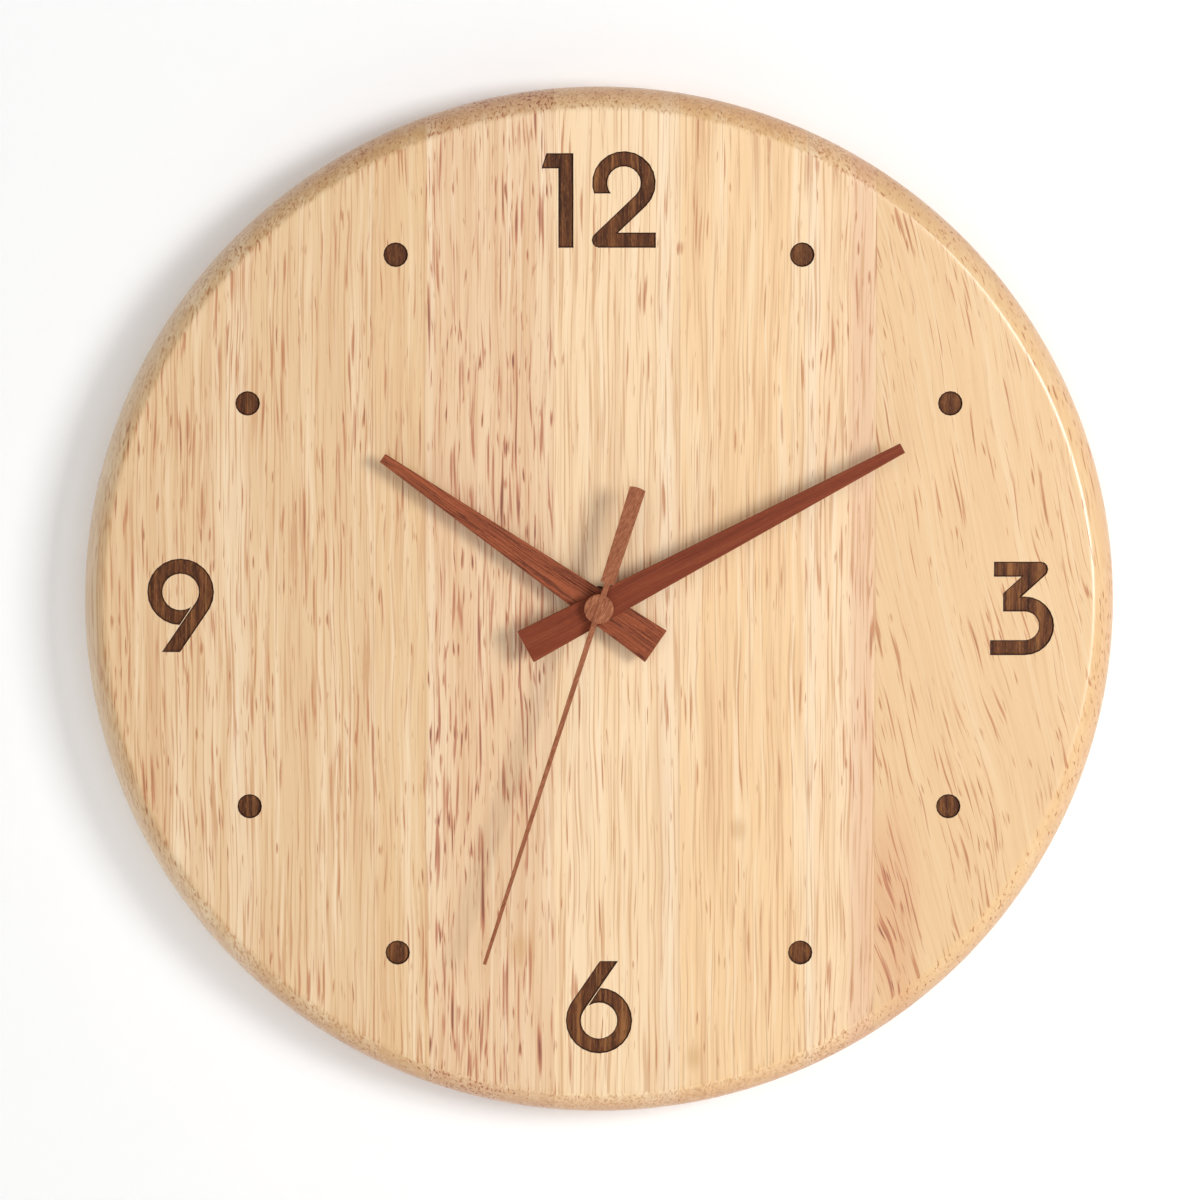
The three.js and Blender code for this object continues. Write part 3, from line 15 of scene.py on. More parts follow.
import bmesh
import bpy
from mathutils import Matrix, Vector

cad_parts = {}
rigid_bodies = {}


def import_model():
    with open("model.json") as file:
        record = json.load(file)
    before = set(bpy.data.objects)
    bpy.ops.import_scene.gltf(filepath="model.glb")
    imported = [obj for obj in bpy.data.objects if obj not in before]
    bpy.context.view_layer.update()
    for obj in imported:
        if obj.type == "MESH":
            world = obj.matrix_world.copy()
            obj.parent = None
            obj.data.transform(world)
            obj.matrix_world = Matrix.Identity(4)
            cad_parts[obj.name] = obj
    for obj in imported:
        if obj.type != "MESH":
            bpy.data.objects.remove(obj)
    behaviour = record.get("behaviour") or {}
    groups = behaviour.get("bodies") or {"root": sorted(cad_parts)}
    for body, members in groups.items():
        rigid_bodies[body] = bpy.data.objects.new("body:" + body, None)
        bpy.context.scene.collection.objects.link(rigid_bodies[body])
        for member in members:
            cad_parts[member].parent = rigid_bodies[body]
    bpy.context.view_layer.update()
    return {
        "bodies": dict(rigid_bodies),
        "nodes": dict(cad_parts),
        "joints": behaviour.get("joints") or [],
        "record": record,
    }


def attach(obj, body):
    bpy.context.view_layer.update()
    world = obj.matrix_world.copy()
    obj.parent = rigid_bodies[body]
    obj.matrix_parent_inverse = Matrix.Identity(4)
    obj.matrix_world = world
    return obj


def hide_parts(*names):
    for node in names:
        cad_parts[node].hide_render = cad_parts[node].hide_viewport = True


LOG = logging.getLogger("wall_clock")
MM = 0.001
TINY = 1e-6
ARBOR_Z = -70.0
BODY = "clock_body"

Colour = tuple[int, int, int]
Point = tuple[float, float]
Place = tuple[float, float, float]
Socket = bpy.types.NodeSocket
Material = bpy.types.Material
Piece = bpy.types.Object
Mesh = bmesh.types.BMesh
Corner = bmesh.types.BMVert
Feed = Union[float, Sequence[float], Socket]


def linear(colour: Colour, alpha: float = 1.0) -> tuple[float, float, float, float]:
    """Turns a display colour into the linear colour that the shaders work in.

    Args:
        colour: Red, green and blue, 0 to 255.
        alpha: Opacity.

    Returns:
        The linear colour with its opacity.
    """
    parts = []
    for value in colour:
        share = value / 255
        parts.append(share / 12.92 if share <= 0.04045 else ((share + 0.055) / 1.055) ** 2.4)
    return (parts[0], parts[1], parts[2], alpha)


class Blend(Enum):
    """How one colour is laid over another."""

    PLAIN = "MIX"
    SHADE = "MULTIPLY"


class Sum(Enum):
    """The sums that a node can do."""

    PLUS = "ADD"
    MINUS = "SUBTRACT"
    TIMES = "MULTIPLY"
    OVER = "DIVIDE"
    TIMES_PLUS = "MULTIPLY_ADD"
    POWER = "POWER"
    ROOT = "SQRT"
    SIZE = "ABSOLUTE"
    MOST = "MAXIMUM"
    BELOW = "LESS_THAN"
    WAVE = "SINE"


class Sheet:
    """The node sheet of one finish, with short ways to lay its nodes."""

    def __init__(self, name: str) -> None:
        """Makes an empty material.

        Args:
            name: The material's name.
        """
        self.material = bpy.data.materials.new(name)
        self.material.use_nodes = True
        self.nodes = self.material.node_tree.nodes
        self.links = self.material.node_tree.links
        self.nodes.clear()

    def feed(self, socket: Socket, value: Optional[Feed]) -> None:
        """Links a socket to another, or sets its value.

        Args:
            socket: The input to fill.
            value: An output socket, a number, a vector or nothing.
        """
        if value is None:
            return
        if isinstance(value, Socket):
            self.links.new(value, socket)
        else:
            socket.default_value = value

    def place(self) -> Socket:
        """Returns the place on the object, in metres."""
        return self.nodes.new("ShaderNodeTexCoord").outputs["Object"]

    def facing(self) -> Socket:
        """Returns the surface direction on the object."""
        return self.nodes.new("ShaderNodeTexCoord").outputs["Normal"]

    def seen_from_behind(self) -> Socket:
        """Returns 1 on the back side of a one-sided sheet."""
        return self.nodes.new("ShaderNodeNewGeometry").outputs["Backfacing"]

    def bench(
        self,
        pivot: Sequence[float] = (0.0, 0.0, ARBOR_Z),
        turn: Sequence[float] = (0.0, 0.0, 0.0),
    ) -> Socket:
        """Gives the place in millimetres in a piece's own axes.

        Args:
            pivot: The piece's own origin, in millimetres.
            turn: Its turn about x, y and z, in radians.

        Returns:
            The place in millimetres, turned back to the piece's own axes.
        """
        node = self.nodes.new("ShaderNodeMapping")
        node.vector_type = "TEXTURE"
        self.feed(node.inputs["Vector"], self.place())
        node.inputs["Location"].default_value = [value * MM for value in pivot]
        node.inputs["Rotation"].default_value = turn
        node.inputs["Scale"].default_value = (MM, MM, MM)
        return node.outputs["Vector"]

    def calc(
        self,
        how: Sum,
        a: Feed,
        b: Optional[Feed] = None,
        c: Optional[Feed] = None,
        clamp: bool = False,
    ) -> Socket:
        """Does one sum.

        Args:
            how: Which sum.
            a: First value.
            b: Second value.
            c: Third value.
            clamp: Whether the result is kept between 0 and 1.

        Returns:
            The result.
        """
        node = self.nodes.new("ShaderNodeMath")
        node.operation = how.value
        node.use_clamp = clamp
        for socket, value in zip(node.inputs, (a, b, c)):
            self.feed(socket, value)
        return node.outputs["Value"]

    def plus(self, a: Feed, b: Feed) -> Socket:
        """Adds two values."""
        return self.calc(Sum.PLUS, a, b)

    def minus(self, a: Feed, b: Feed) -> Socket:
        """Takes the second value from the first."""
        return self.calc(Sum.MINUS, a, b)

    def times(self, a: Feed, b: Feed) -> Socket:
        """Multiplies two values."""
        return self.calc(Sum.TIMES, a, b)

    def most(self, a: Feed, b: Feed) -> Socket:
        """Gives the greater of two values."""
        return self.calc(Sum.MOST, a, b)

    def most_of(self, values: Iterable[Feed]) -> Feed:
        """Gives the greatest of some values."""
        return reduce(self.most, values)

    def above(self, value: Feed, limit: Feed, sharpness: float) -> Socket:
        """Rises from 0 to 1 as a value passes a limit."""
        return self.calc(Sum.TIMES, self.minus(value, limit), sharpness, clamp=True)

    def gap(self, value: Feed, place: float) -> Socket:
        """Gives the distance from a place along one axis."""
        return self.calc(Sum.SIZE, self.plus(value, -place))

    def reach(self, x: Feed, z: Feed) -> Socket:
        """Gives the distance from the origin on a flat sheet."""
        return self.calc(Sum.ROOT, self.plus(self.calc(Sum.POWER, x, 2.0), self.calc(Sum.POWER, z, 2.0)))

    def split(self, vector: Feed) -> tuple[Socket, Socket, Socket]:
        """Splits a vector into its three parts.

        Args:
            vector: The vector.

        Returns:
            Its x, y and z.
        """
        node = self.nodes.new("ShaderNodeSeparateXYZ")
        self.feed(node.inputs[0], vector)
        return node.outputs[0], node.outputs[1], node.outputs[2]

    def merge(self, x: Feed, y: Feed, z: Feed) -> Socket:
        """Puts three values together.

        Args:
            x: First part.
            y: Second part.
            z: Third part.

        Returns:
            The vector.
        """
        node = self.nodes.new("ShaderNodeCombineXYZ")
        for socket, value in zip(node.inputs, (x, y, z)):
            self.feed(socket, value)
        return node.outputs[0]

    def scaled(self, vector: Feed, x: float, y: float, z: float) -> Socket:
        """Stretches a vector.

        Args:
            vector: The vector.
            x: Factor along x.
            y: Factor along y.
            z: Factor along z.

        Returns:
            The stretched vector.
        """
        node = self.nodes.new("ShaderNodeVectorMath")
        node.operation = "MULTIPLY"
        self.feed(node.inputs[0], vector)
        node.inputs[1].default_value = (x, y, z)
        return node.outputs["Vector"]

    def noise(
        self,
        vector: Feed,
        scale: float = 1.0,
        detail: float = 2.0,
        rough: float = 0.5,
        bend: float = 0.0,
        seed: Optional[Feed] = None,
    ) -> Socket:
        """Gives soft noise.

        Args:
            vector: Where.
            scale: How many lumps to the unit.
            detail: How many finer layers it has.
            rough: How strong the finer layers are.
            bend: How far it is pulled about.
            seed: Which of many noises.

        Returns:
            A value around 0.5.
        """
        node = self.nodes.new("ShaderNodeTexNoise")
        if seed is not None:
            node.noise_dimensions = "4D"
            self.feed(node.inputs["W"], seed)
        self.feed(node.inputs["Vector"], vector)
        node.inputs["Scale"].default_value = scale
        node.inputs["Detail"].default_value = detail
        node.inputs["Roughness"].default_value = rough
        node.inputs["Distortion"].default_value = bend
        return node.outputs["Fac"]

    def step(self, value: Feed, low: float, high: float, soft: bool = True) -> Socket:
        """Rises from 0 to 1 between two values, or falls if low is above high.

        Args:
            value: The value.
            low: Where it gives 0.
            high: Where it gives 1.
            soft: Whether the rise has eased ends.

        Returns:
            A value between 0 and 1.
        """
        node = self.nodes.new("ShaderNodeMapRange")
        node.interpolation_type = "SMOOTHSTEP" if soft else "LINEAR"
        self.feed(node.inputs["Value"], value)
        falls = low > high
        node.inputs["From Min"].default_value = high if falls else low
        node.inputs["From Max"].default_value = low if falls else high
        node.inputs["To Min"].default_value = 1.0 if falls else 0.0
        node.inputs["To Max"].default_value = 0.0 if falls else 1.0
        return node.outputs["Result"]

    def span(self, value: Feed, low: float, high: float) -> Socket:
        """Maps 0 to 1 onto a range.

        Args:
            value: The value.
            low: What 0 becomes.
            high: What 1 becomes.

        Returns:
            The mapped value.
        """
        node = self.nodes.new("ShaderNodeMapRange")
        self.feed(node.inputs["Value"], value)
        node.inputs["To Min"].default_value = low
        node.inputs["To Max"].default_value = high
        return node.outputs["Result"]

    def lay(self, amount: Feed, under: Feed, over: Feed, how: Blend = Blend.PLAIN) -> Socket:
        """Lays one colour over another.

        Args:
            amount: How much of it, 0 to 1.
            under: The colour below.
            over: The colour laid on.
            how: The way it is laid.

        Returns:
            The colour.
        """
        node = self.nodes.new("ShaderNodeMix")
        node.data_type = "RGBA"
        node.blend_type = how.value
        self.feed(node.inputs[0], amount)
        self.feed(node.inputs[6], under)
        self.feed(node.inputs[7], over)
        return node.outputs[2]

    def stain(
        self,
        amount: Feed,
        strength: Feed,
        under: Feed,
        tint: Colour,
        how: Blend = Blend.PLAIN,
    ) -> Socket:
        """Lays a tint over a colour.

        Args:
            amount: Where it is laid, 0 to 1.
            strength: How strongly it is laid there.
            under: The colour below.
            tint: The tint.
            how: The way it is laid.

        Returns:
            The colour.
        """
        return self.lay(self.times(amount, strength), under, linear(tint), how)

    def relief(
        self,
        height: Feed,
        depth: float,
        strength: float = 1.0,
        under: Optional[Feed] = None,
    ) -> Socket:
        """Gives the shading of a fine relief.

        Args:
            height: The relief, 0 to 1.
            depth: Its depth in millimetres.
            strength: How much of it shows.
            under: The relief below it.

        Returns:
            The surface direction.
        """
        node = self.nodes.new("ShaderNodeBump")
        node.inputs["Distance"].default_value = depth * MM
        node.inputs["Strength"].default_value = strength
        self.feed(node.inputs["Height"], height)
        self.feed(node.inputs["Normal"], under)
        return node.outputs["Normal"]

    def finish(self, **inputs: Feed) -> Material:
        """Ends the sheet with the main shader.

        Args:
            inputs: What goes into the shader's sockets, by name with _ for a space.

        Returns:
            The material.
        """
        shader = self.nodes.new("ShaderNodeBsdfPrincipled")
        for name, value in inputs.items():
            self.feed(shader.inputs[name.replace("_", " ")], value)
        output = self.nodes.new("ShaderNodeOutputMaterial")
        self.links.new(shader.outputs[0], output.inputs["Surface"])
        return self.material


# Finishes


@dataclass(frozen=True)
class Grain:
    """A drawn-out noise, by its lumps to the millimetre across and along the wood."""

    across: float
    along: float
    detail: float = 1.0
    rough: float = 0.5
    bend: float = 0.0

    def over(self, sheet: Sheet, place: Feed, seed: Optional[Feed] = None) -> Socket:
        """Returns the noise at a place, another one for each seed."""
        drawn = sheet.scaled(place, self.across, self.across, self.along)
        return sheet.noise(drawn, 1.0, self.detail, self.rough, self.bend, seed)


@dataclass(frozen=True)
class Band:
    """A tint laid where a noise rises, or falls, between two values."""

    low: float
    high: float
    strength: float
    tint: Colour


@dataclass(frozen=True)
class Stave:
    """One of the glued staves of the board, from its left edge to the next one's."""

    left: float
    tint: Colour
    lines: float
    dashes: float
    red: float
    lean: float = 0.0
    sway: float = 0.15
    bands: float = 1.0


@dataclass(frozen=True)
class Streak:
    """A lengthwise streak in the board."""

    x: float
    half_width: float
    strength: float

    def across(self, sheet: Sheet, x: Feed, core: float) -> Socket:
        """Returns how strongly it shows, in full over a share of its width called the core."""
        shown = sheet.step(sheet.gap(x, self.x), self.half_width, core * self.half_width)
        return sheet.times(shown, self.strength)


@dataclass(frozen=True)
class Oval:
    """An oval place in the board, by its centre and half sizes."""

    x: float
    z: float
    wide: float
    tall: float

    def out(self, sheet: Sheet, x: Feed, z: Feed) -> Socket:
        """Returns the distance from its centre, which is 1 at its edge."""
        out_x = sheet.calc(Sum.OVER, sheet.plus(x, -self.x), self.wide)
        return sheet.reach(out_x, sheet.calc(Sum.OVER, sheet.plus(z, -self.z), self.tall))


@dataclass(frozen=True)
class RubberwoodBoard:
    """Pale edge-glued rubberwood with reddish pores under a satin lacquer."""

    half_width: float = 151.0
    staves: tuple[Stave, ...] = (
        Stave(-151.0, (236, 198, 149), 0.95, 0.66, 0.42),
        Stave(-65.5, (236, 196, 144), 0.6, 0.55, 0.45),
        Stave(-50.5, (240, 202, 158), 0.55, 0.95, 1.0),
        Stave(-14.0, (251, 217, 171), 0.75, 0.3, 0.35),
        Stave(23.3, (248, 208, 155), 0.7, 0.2, 0.15),
        Stave(60.6, (250, 214, 168), 0.8, 0.6, 0.35),
        Stave(80.2, (238, 198, 146), 0.25, 0.6, 0.3, 0.24, 0.5, 0.35),
    )
    first_seed: float = 0.1
    next_seed: float = 0.13
    seed_spread: float = 37.0
    sway_reach: float = 34.0
    wander_reach: float = 2.2
    bend_grain: Grain = Grain(0.016, 0.008, 2.0)
    wander_grain: Grain = Grain(0.16, 0.03)
    broad_grain: Grain = Grain(0.13, 0.007, 3.0, 0.6)
    narrow_grain: Grain = Grain(0.62, 0.012, 2.0, 0.6)
    line_grain: Grain = Grain(1.5, 0.026)
    crowd_grain: Grain = Grain(0.07, 0.02, 2.0)
    long_grain: Grain = Grain(1.22, 0.05, 1.0, 0.4)
    short_grain: Grain = Grain(1.3, 0.12, 1.0, 0.4)
    broad_bands: tuple[Band, ...] = (
        Band(0.5, 0.7, 0.5, (226, 180, 130)),
        Band(0.5, 0.32, 0.5, (254, 228, 190)),
    )
    narrow_bands: tuple[Band, ...] = (
        Band(0.5, 0.7, 0.45, (220, 170, 120)),
        Band(0.47, 0.3, 0.5, (255, 232, 198)),
    )
    streaks: tuple[Streak, ...] = (
        Streak(19.8, 3.2, 0.5),
        Streak(61.6, 2.4, 0.62),
        Streak(-104.0, 5.0, 0.4),
        Streak(-49.0, 1.6, 0.4),
    )
    streak_tint: Colour = (252, 227, 192)
    pink_stripe: Streak = Streak(76.2, 4.4, 0.6)
    pink_tint: Colour = (234, 188, 152)
    patch: Oval = Oval(86.5, -91.0, 9.5, 40.0)
    patch_tint: Colour = (222, 160, 112)
    line: Band = Band(0.51, 0.67, 0.95, (214, 161, 110))
    fewest_pores: float = 0.68
    most_pores: float = 0.56
    short_pore_rise: float = 0.04
    deep_pore_rise: float = 0.13
    pore_sharpness: float = 10.0
    deep_pore_sharpness: float = 12.0
    pore_strength: float = 0.85
    pale_pore: Colour = (200, 134, 78)
    red_pore: Colour = (190, 110, 68)
    deep_pore: Colour = (118, 50, 26)
    knots: tuple[Oval, ...] = (
        Oval(-23.0, -100.5, 3.2, 4.8),
        Oval(40.5, -65.5, 2.2, 3.3),
        Oval(27.5, -132.5, 2.6, 3.9),
    )
    knot: Band = Band(1.5, 0.2, 0.42, (206, 152, 88))
    seams: tuple[int, ...] = (1, 2, 4, 5, 6)
    seam: Band = Band(0.28, 0.05, 0.3, (190, 134, 92))
    # Tints by which way the rim faces: darker facing up or down, partly end grain and partly painted shade;
    # painted shade facing right; painted light facing left.
    end_grain_and_shade: Band = Band(0.3, 0.95, 0.72, (212, 176, 138))
    right_painted_shade: Band = Band(0.45, 1.0, 0.8, (240, 226, 216))
    left_painted_light: Band = Band(-0.35, -0.95, 0.5, (255, 228, 192))

    def by_stave(self, sheet: Sheet, x: Feed, shades: Iterable[Sequence[float]]) -> Socket:
        """Gives each stave its own colour.

        Args:
            sheet: The node sheet.
            x: The place across the board, in millimetres.
            shades: One linear colour for each stave.

        Returns:
            The colour of the stave at that place.
        """
        node = sheet.nodes.new("ShaderNodeValToRGB")
        node.color_ramp.interpolation = "CONSTANT"
        elements = node.color_ramp.elements
        while len(elements) < len(self.staves):
            elements.new(0.5)
        for element, stave in zip(elements, self.staves):
            element.position = (stave.left + self.half_width) / (2 * self.half_width)
        for element, shade in zip(elements, shades):
            element.color = shade
        sheet.feed(node.inputs["Fac"], sheet.step(x, -self.half_width, self.half_width, soft=False))
        return node.outputs["Color"]

    def value_by_stave(self, sheet: Sheet, x: Feed, values: Iterable[float]) -> Socket:
        """Gives each stave its own value.

        Args:
            sheet: The node sheet.
            x: The place across the board, in millimetres.
            values: One value for each stave, 0 to 1.

        Returns:
            The value of the stave at that place.
        """
        separate = sheet.nodes.new("ShaderNodeSeparateColor")
        greys = [(value, value, value, 1.0) for value in values]
        sheet.links.new(self.by_stave(sheet, x, greys), separate.inputs[0])
        return separate.outputs[0]

    def build(self) -> Material:
        """Returns the board's material."""
        sheet = Sheet("board_wood")
        place = sheet.bench()
        x, y, z = sheet.split(place)

        def each(pick: Callable[[Stave], float]) -> Socket:
            """Returns a value that each stave has its own of."""
            return self.value_by_stave(sheet, x, [pick(stave) for stave in self.staves])

        colour = self.by_stave(sheet, x, [linear(stave.tint) for stave in self.staves])
        seeds = [self.first_seed + self.next_seed * n for n in range(len(self.staves))]
        seed = sheet.times(self.value_by_stave(sheet, x, seeds), self.seed_spread)

        bend = sheet.minus(self.bend_grain.over(sheet, place, seed), 0.5)
        bend = sheet.times(bend, sheet.span(each(lambda stave: stave.sway), 0.0, self.sway_reach))
        wander = sheet.minus(self.wander_grain.over(sheet, place, seed), 0.5)
        wander = sheet.times(wander, self.wander_reach)
        upright = sheet.plus(x, sheet.plus(bend, wander))
        across = sheet.plus(upright, sheet.times(each(lambda stave: stave.lean), z))
        grain = sheet.merge(across, y, z)

        banding = each(lambda stave: stave.bands)
        broad = self.broad_grain.over(sheet, grain, seed)
        narrow = self.narrow_grain.over(sheet, grain, seed)
        for noise, bands in ((broad, self.broad_bands), (narrow, self.narrow_bands)):
            for band in bands:
                amount = sheet.span(sheet.step(noise, band.low, band.high), 0.0, band.strength)
                colour = sheet.stain(banding, amount, colour, band.tint)

        streaks = sheet.most_of(streak.across(sheet, upright, 0.3) for streak in self.streaks)
        colour = sheet.lay(streaks, colour, linear(self.streak_tint))
        colour = sheet.lay(self.pink_stripe.across(sheet, x, 0.5), colour, linear(self.pink_tint))
        patch = sheet.step(self.patch.out(sheet, upright, z), 1.15, 0.35)
        colour = sheet.stain(patch, 0.5, colour, self.patch_tint)

        lines = sheet.step(self.line_grain.over(sheet, grain), self.line.low, self.line.high)
        line = sheet.times(lines, each(lambda stave: stave.lines))
        colour = sheet.stain(line, self.line.strength, colour, self.line.tint)

        crowd = sheet.step(self.crowd_grain.over(sheet, place, seed), 0.24, 0.6)
        crowd = sheet.most(sheet.times(crowd, each(lambda stave: stave.dashes)), sheet.times(patch, 0.95))
        red = sheet.most(each(lambda stave: stave.red), sheet.times(patch, 0.9))
        limit = sheet.span(crowd, self.fewest_pores, self.most_pores)
        long = self.long_grain.over(sheet, grain)
        short = self.short_grain.over(sheet, grain)
        short_limit = sheet.plus(limit, self.short_pore_rise)
        deep_limit = sheet.plus(limit, self.deep_pore_rise)
        pore = sheet.most(
            sheet.above(long, limit, self.pore_sharpness),
            sheet.above(short, short_limit, self.pore_sharpness),
        )
        tint = sheet.lay(red, linear(self.pale_pore), linear(self.red_pore))
        colour = sheet.lay(sheet.times(pore, self.pore_strength), colour, tint)
        deepest = sheet.above(sheet.most(short, long), deep_limit, self.deep_pore_sharpness)
        colour = sheet.stain(deepest, sheet.span(red, 0.3, 0.8), colour, self.deep_pore)

        for knot in self.knots:
            dark = sheet.step(knot.out(sheet, across, z), self.knot.low, self.knot.high)
            colour = sheet.lay(sheet.span(dark, 0.0, self.knot.strength), colour, linear(self.knot.tint))
        gaps = [sheet.gap(x, self.staves[n].left) for n in self.seams]
        seams = sheet.most_of(sheet.step(gap, self.seam.low, self.seam.high) for gap in gaps)
        colour = sheet.stain(seams, self.seam.strength, colour, self.seam.tint)

        # The rim's facing tints: end grain with painted shade at the top and bottom, painted shade on the
        # right-facing side and painted light on the left-facing side.
        right, _, up = sheet.split(sheet.facing())
        for facing, side, how in (
            (sheet.calc(Sum.SIZE, up), self.end_grain_and_shade, Blend.SHADE),
            (right, self.right_painted_shade, Blend.SHADE),
            (right, self.left_painted_light, Blend.PLAIN),
        ):
            turned = sheet.step(facing, side.low, side.high)
            colour = sheet.stain(turned, side.strength, colour, side.tint, how)

        height = sheet.minus(1.0, sheet.times(pore, 0.9))
        height = sheet.minus(height, sheet.times(line, 0.18))
        return sheet.finish(
            Base_Color=colour,
            Roughness=sheet.calc(Sum.TIMES_PLUS, pore, 0.16, sheet.span(broad, 0.36, 0.46)),
            Normal=sheet.relief(height, 0.05, 0.5),
            Coat_Weight=0.35,
            Coat_Roughness=0.16,
        )


@dataclass(frozen=True)
class DarkWood:
    """A dark wood with lengthwise grain, along the piece's own z axis turned by an angle."""

    name: str
    middle: Colour
    dark: Colour
    light: Colour
    streaks: float = 0.5
    lines: float = 0.6
    line_rate: float = 2.2
    line_run: float = 0.05
    flecks: float = 0.2
    threads: float = 0.0
    turn: float = 0.0
    roughness: float = 0.5
    line_shade: tuple[float, float, float] = (0.72, 0.66, 0.62)
    thread_seed: float = 4.0

    def build(self) -> Material:
        """Returns the wood's material."""
        sheet = Sheet(self.name)
        place = sheet.bench(turn=(0.0, self.turn, 0.0))
        x, y, z = sheet.split(place)
        bend = sheet.minus(Grain(0.09, 0.03, 2.0).over(sheet, place), 0.5)
        grain = sheet.merge(sheet.calc(Sum.TIMES_PLUS, bend, 2.0, x), y, z)

        broad = Grain(0.42, 0.02, 3.0, 0.6).over(sheet, grain)
        narrow = Grain(1.3, 0.03, 2.0, 0.6).over(sheet, grain)
        colour = sheet.stain(sheet.step(broad, 0.5, 0.7), self.streaks, linear(self.middle), self.dark)
        colour = sheet.stain(sheet.step(broad, 0.5, 0.32), self.streaks, colour, self.light)
        colour = sheet.stain(sheet.step(narrow, 0.42, 0.3), 0.5, colour, self.light)

        shade = tuple(int(value * share) for value, share in zip(self.dark, self.line_shade))
        line = sheet.step(Grain(self.line_rate, self.line_run).over(sheet, grain), 0.5, 0.6)
        colour = sheet.stain(line, self.lines, colour, shade)
        contour = Grain(1.75, 0.03, 2.0).over(sheet, grain, self.thread_seed)
        thread = sheet.step(sheet.calc(Sum.SIZE, sheet.minus(contour, 0.5)), 0.04, 0.01)
        colour = sheet.stain(thread, self.threads, colour, shade)

        fibre = Grain(3.4, 0.55, 2.0, 0.6, 0.5).over(sheet, grain)
        colour = sheet.stain(sheet.step(fibre, 0.53, 0.68), self.flecks, colour, self.dark)
        colour = sheet.stain(sheet.step(fibre, 0.46, 0.32), self.flecks, colour, self.light)

        height = sheet.minus(1.0, sheet.times(line, 0.8))
        height = sheet.minus(height, sheet.times(fibre, 0.4))
        return sheet.finish(
            Base_Color=colour,
            Roughness=sheet.span(narrow, self.roughness - 0.05, self.roughness + 0.1),
            Specular_IOR_Level=0.14,
            Normal=sheet.relief(height, 0.04, 0.5),
        )


@dataclass(frozen=True)
class Metal:
    """A metal with fine working marks and a little tarnish."""

    name: str
    tint: Colour
    tarnish: Colour
    roughness: float = 0.3
    marks: float = 0.4

    def build(self) -> Material:
        """Returns the metal's material."""
        sheet = Sheet(self.name)
        place = sheet.bench()
        cloud = sheet.noise(place, 0.35, 4.0, 0.6)
        marks = sheet.noise(sheet.scaled(place, 0.6, 9.0, 9.0), 1.0, 2.0, 0.6)
        pits = sheet.noise(place, 4.5, 2.0, 0.5)
        tarnished = sheet.span(sheet.step(cloud, 0.42, 0.75), 0.0, 0.5)
        base = sheet.span(cloud, self.roughness - 0.08, self.roughness + 0.08)
        return sheet.finish(
            Base_Color=sheet.lay(tarnished, linear(self.tint), linear(self.tarnish)),
            Metallic=1.0,
            Roughness=sheet.calc(Sum.TIMES_PLUS, marks, 0.16, base),
            Normal=sheet.relief(sheet.calc(Sum.TIMES_PLUS, pits, 0.4, marks), 0.02, self.marks),
        )


@dataclass(frozen=True)
class Moulded:
    """Moulded plastic, rubber or resin with a fine sparked surface."""

    name: str
    tint: Colour
    shade: Colour
    roughness: float = 0.5
    grain: float = 6.0
    depth: float = 0.02
    sheen: float = 0.0

    def build(self) -> Material:
        """Returns the moulded material."""
        sheet = Sheet(self.name)
        place = sheet.bench()
        cloud = sheet.noise(place, 0.12, 3.0, 0.55)
        grain = sheet.noise(place, self.grain, 2.0, 0.6)
        dust = sheet.noise(place, 1.4, 4.0, 0.7)
        colour = sheet.lay(sheet.step(cloud, 0.35, 0.7), linear(self.tint), linear(self.shade))
        pale = tuple(min(255, int(value * 1.1 + 12)) for value in self.tint)
        colour = sheet.lay(sheet.span(sheet.step(dust, 0.6, 0.8), 0.0, 0.25), colour, linear(pale))
        rough = sheet.span(grain, self.roughness - 0.08, self.roughness + 0.12)
        return sheet.finish(
            Base_Color=colour,
            Roughness=rough,
            Normal=sheet.relief(grain, self.depth, 0.6),
            Sheen_Weight=self.sheen,
        )


@dataclass(frozen=True)
class BatterySleeve:
    """The plain printed sleeve of the cell: a dark body and a coppery band at its positive end."""

    band_end: float = -9.5
    body: Colour = (38, 52, 74)
    band: Colour = (190, 128, 74)
    thin_line: Colour = (222, 216, 200)
    scuffed: Colour = (150, 152, 158)

    def build(self) -> Material:
        """Returns the sleeve's material."""
        sheet = Sheet("battery_jacket")
        place = sheet.bench()
        x, _, _ = sheet.split(place)
        scuff = sheet.noise(sheet.scaled(place, 0.25, 1.4, 1.4), 1.0, 4.0, 0.65)
        print_edge = sheet.step(x, self.band_end + 0.1, self.band_end - 0.1)
        colour = sheet.lay(print_edge, linear(self.body), linear(self.band))
        thin_line = sheet.step(sheet.gap(x, self.band_end), 0.5, 0.35)
        colour = sheet.lay(thin_line, colour, linear(self.thin_line))
        scuffs = sheet.span(sheet.step(scuff, 0.55, 0.75), 0.0, 0.22)
        colour = sheet.lay(scuffs, colour, linear(self.scuffed))
        return sheet.finish(
            Base_Color=colour,
            Metallic=0.35,
            Roughness=sheet.span(scuff, 0.22, 0.42),
            Normal=sheet.relief(scuff, 0.03, 0.3),
        )


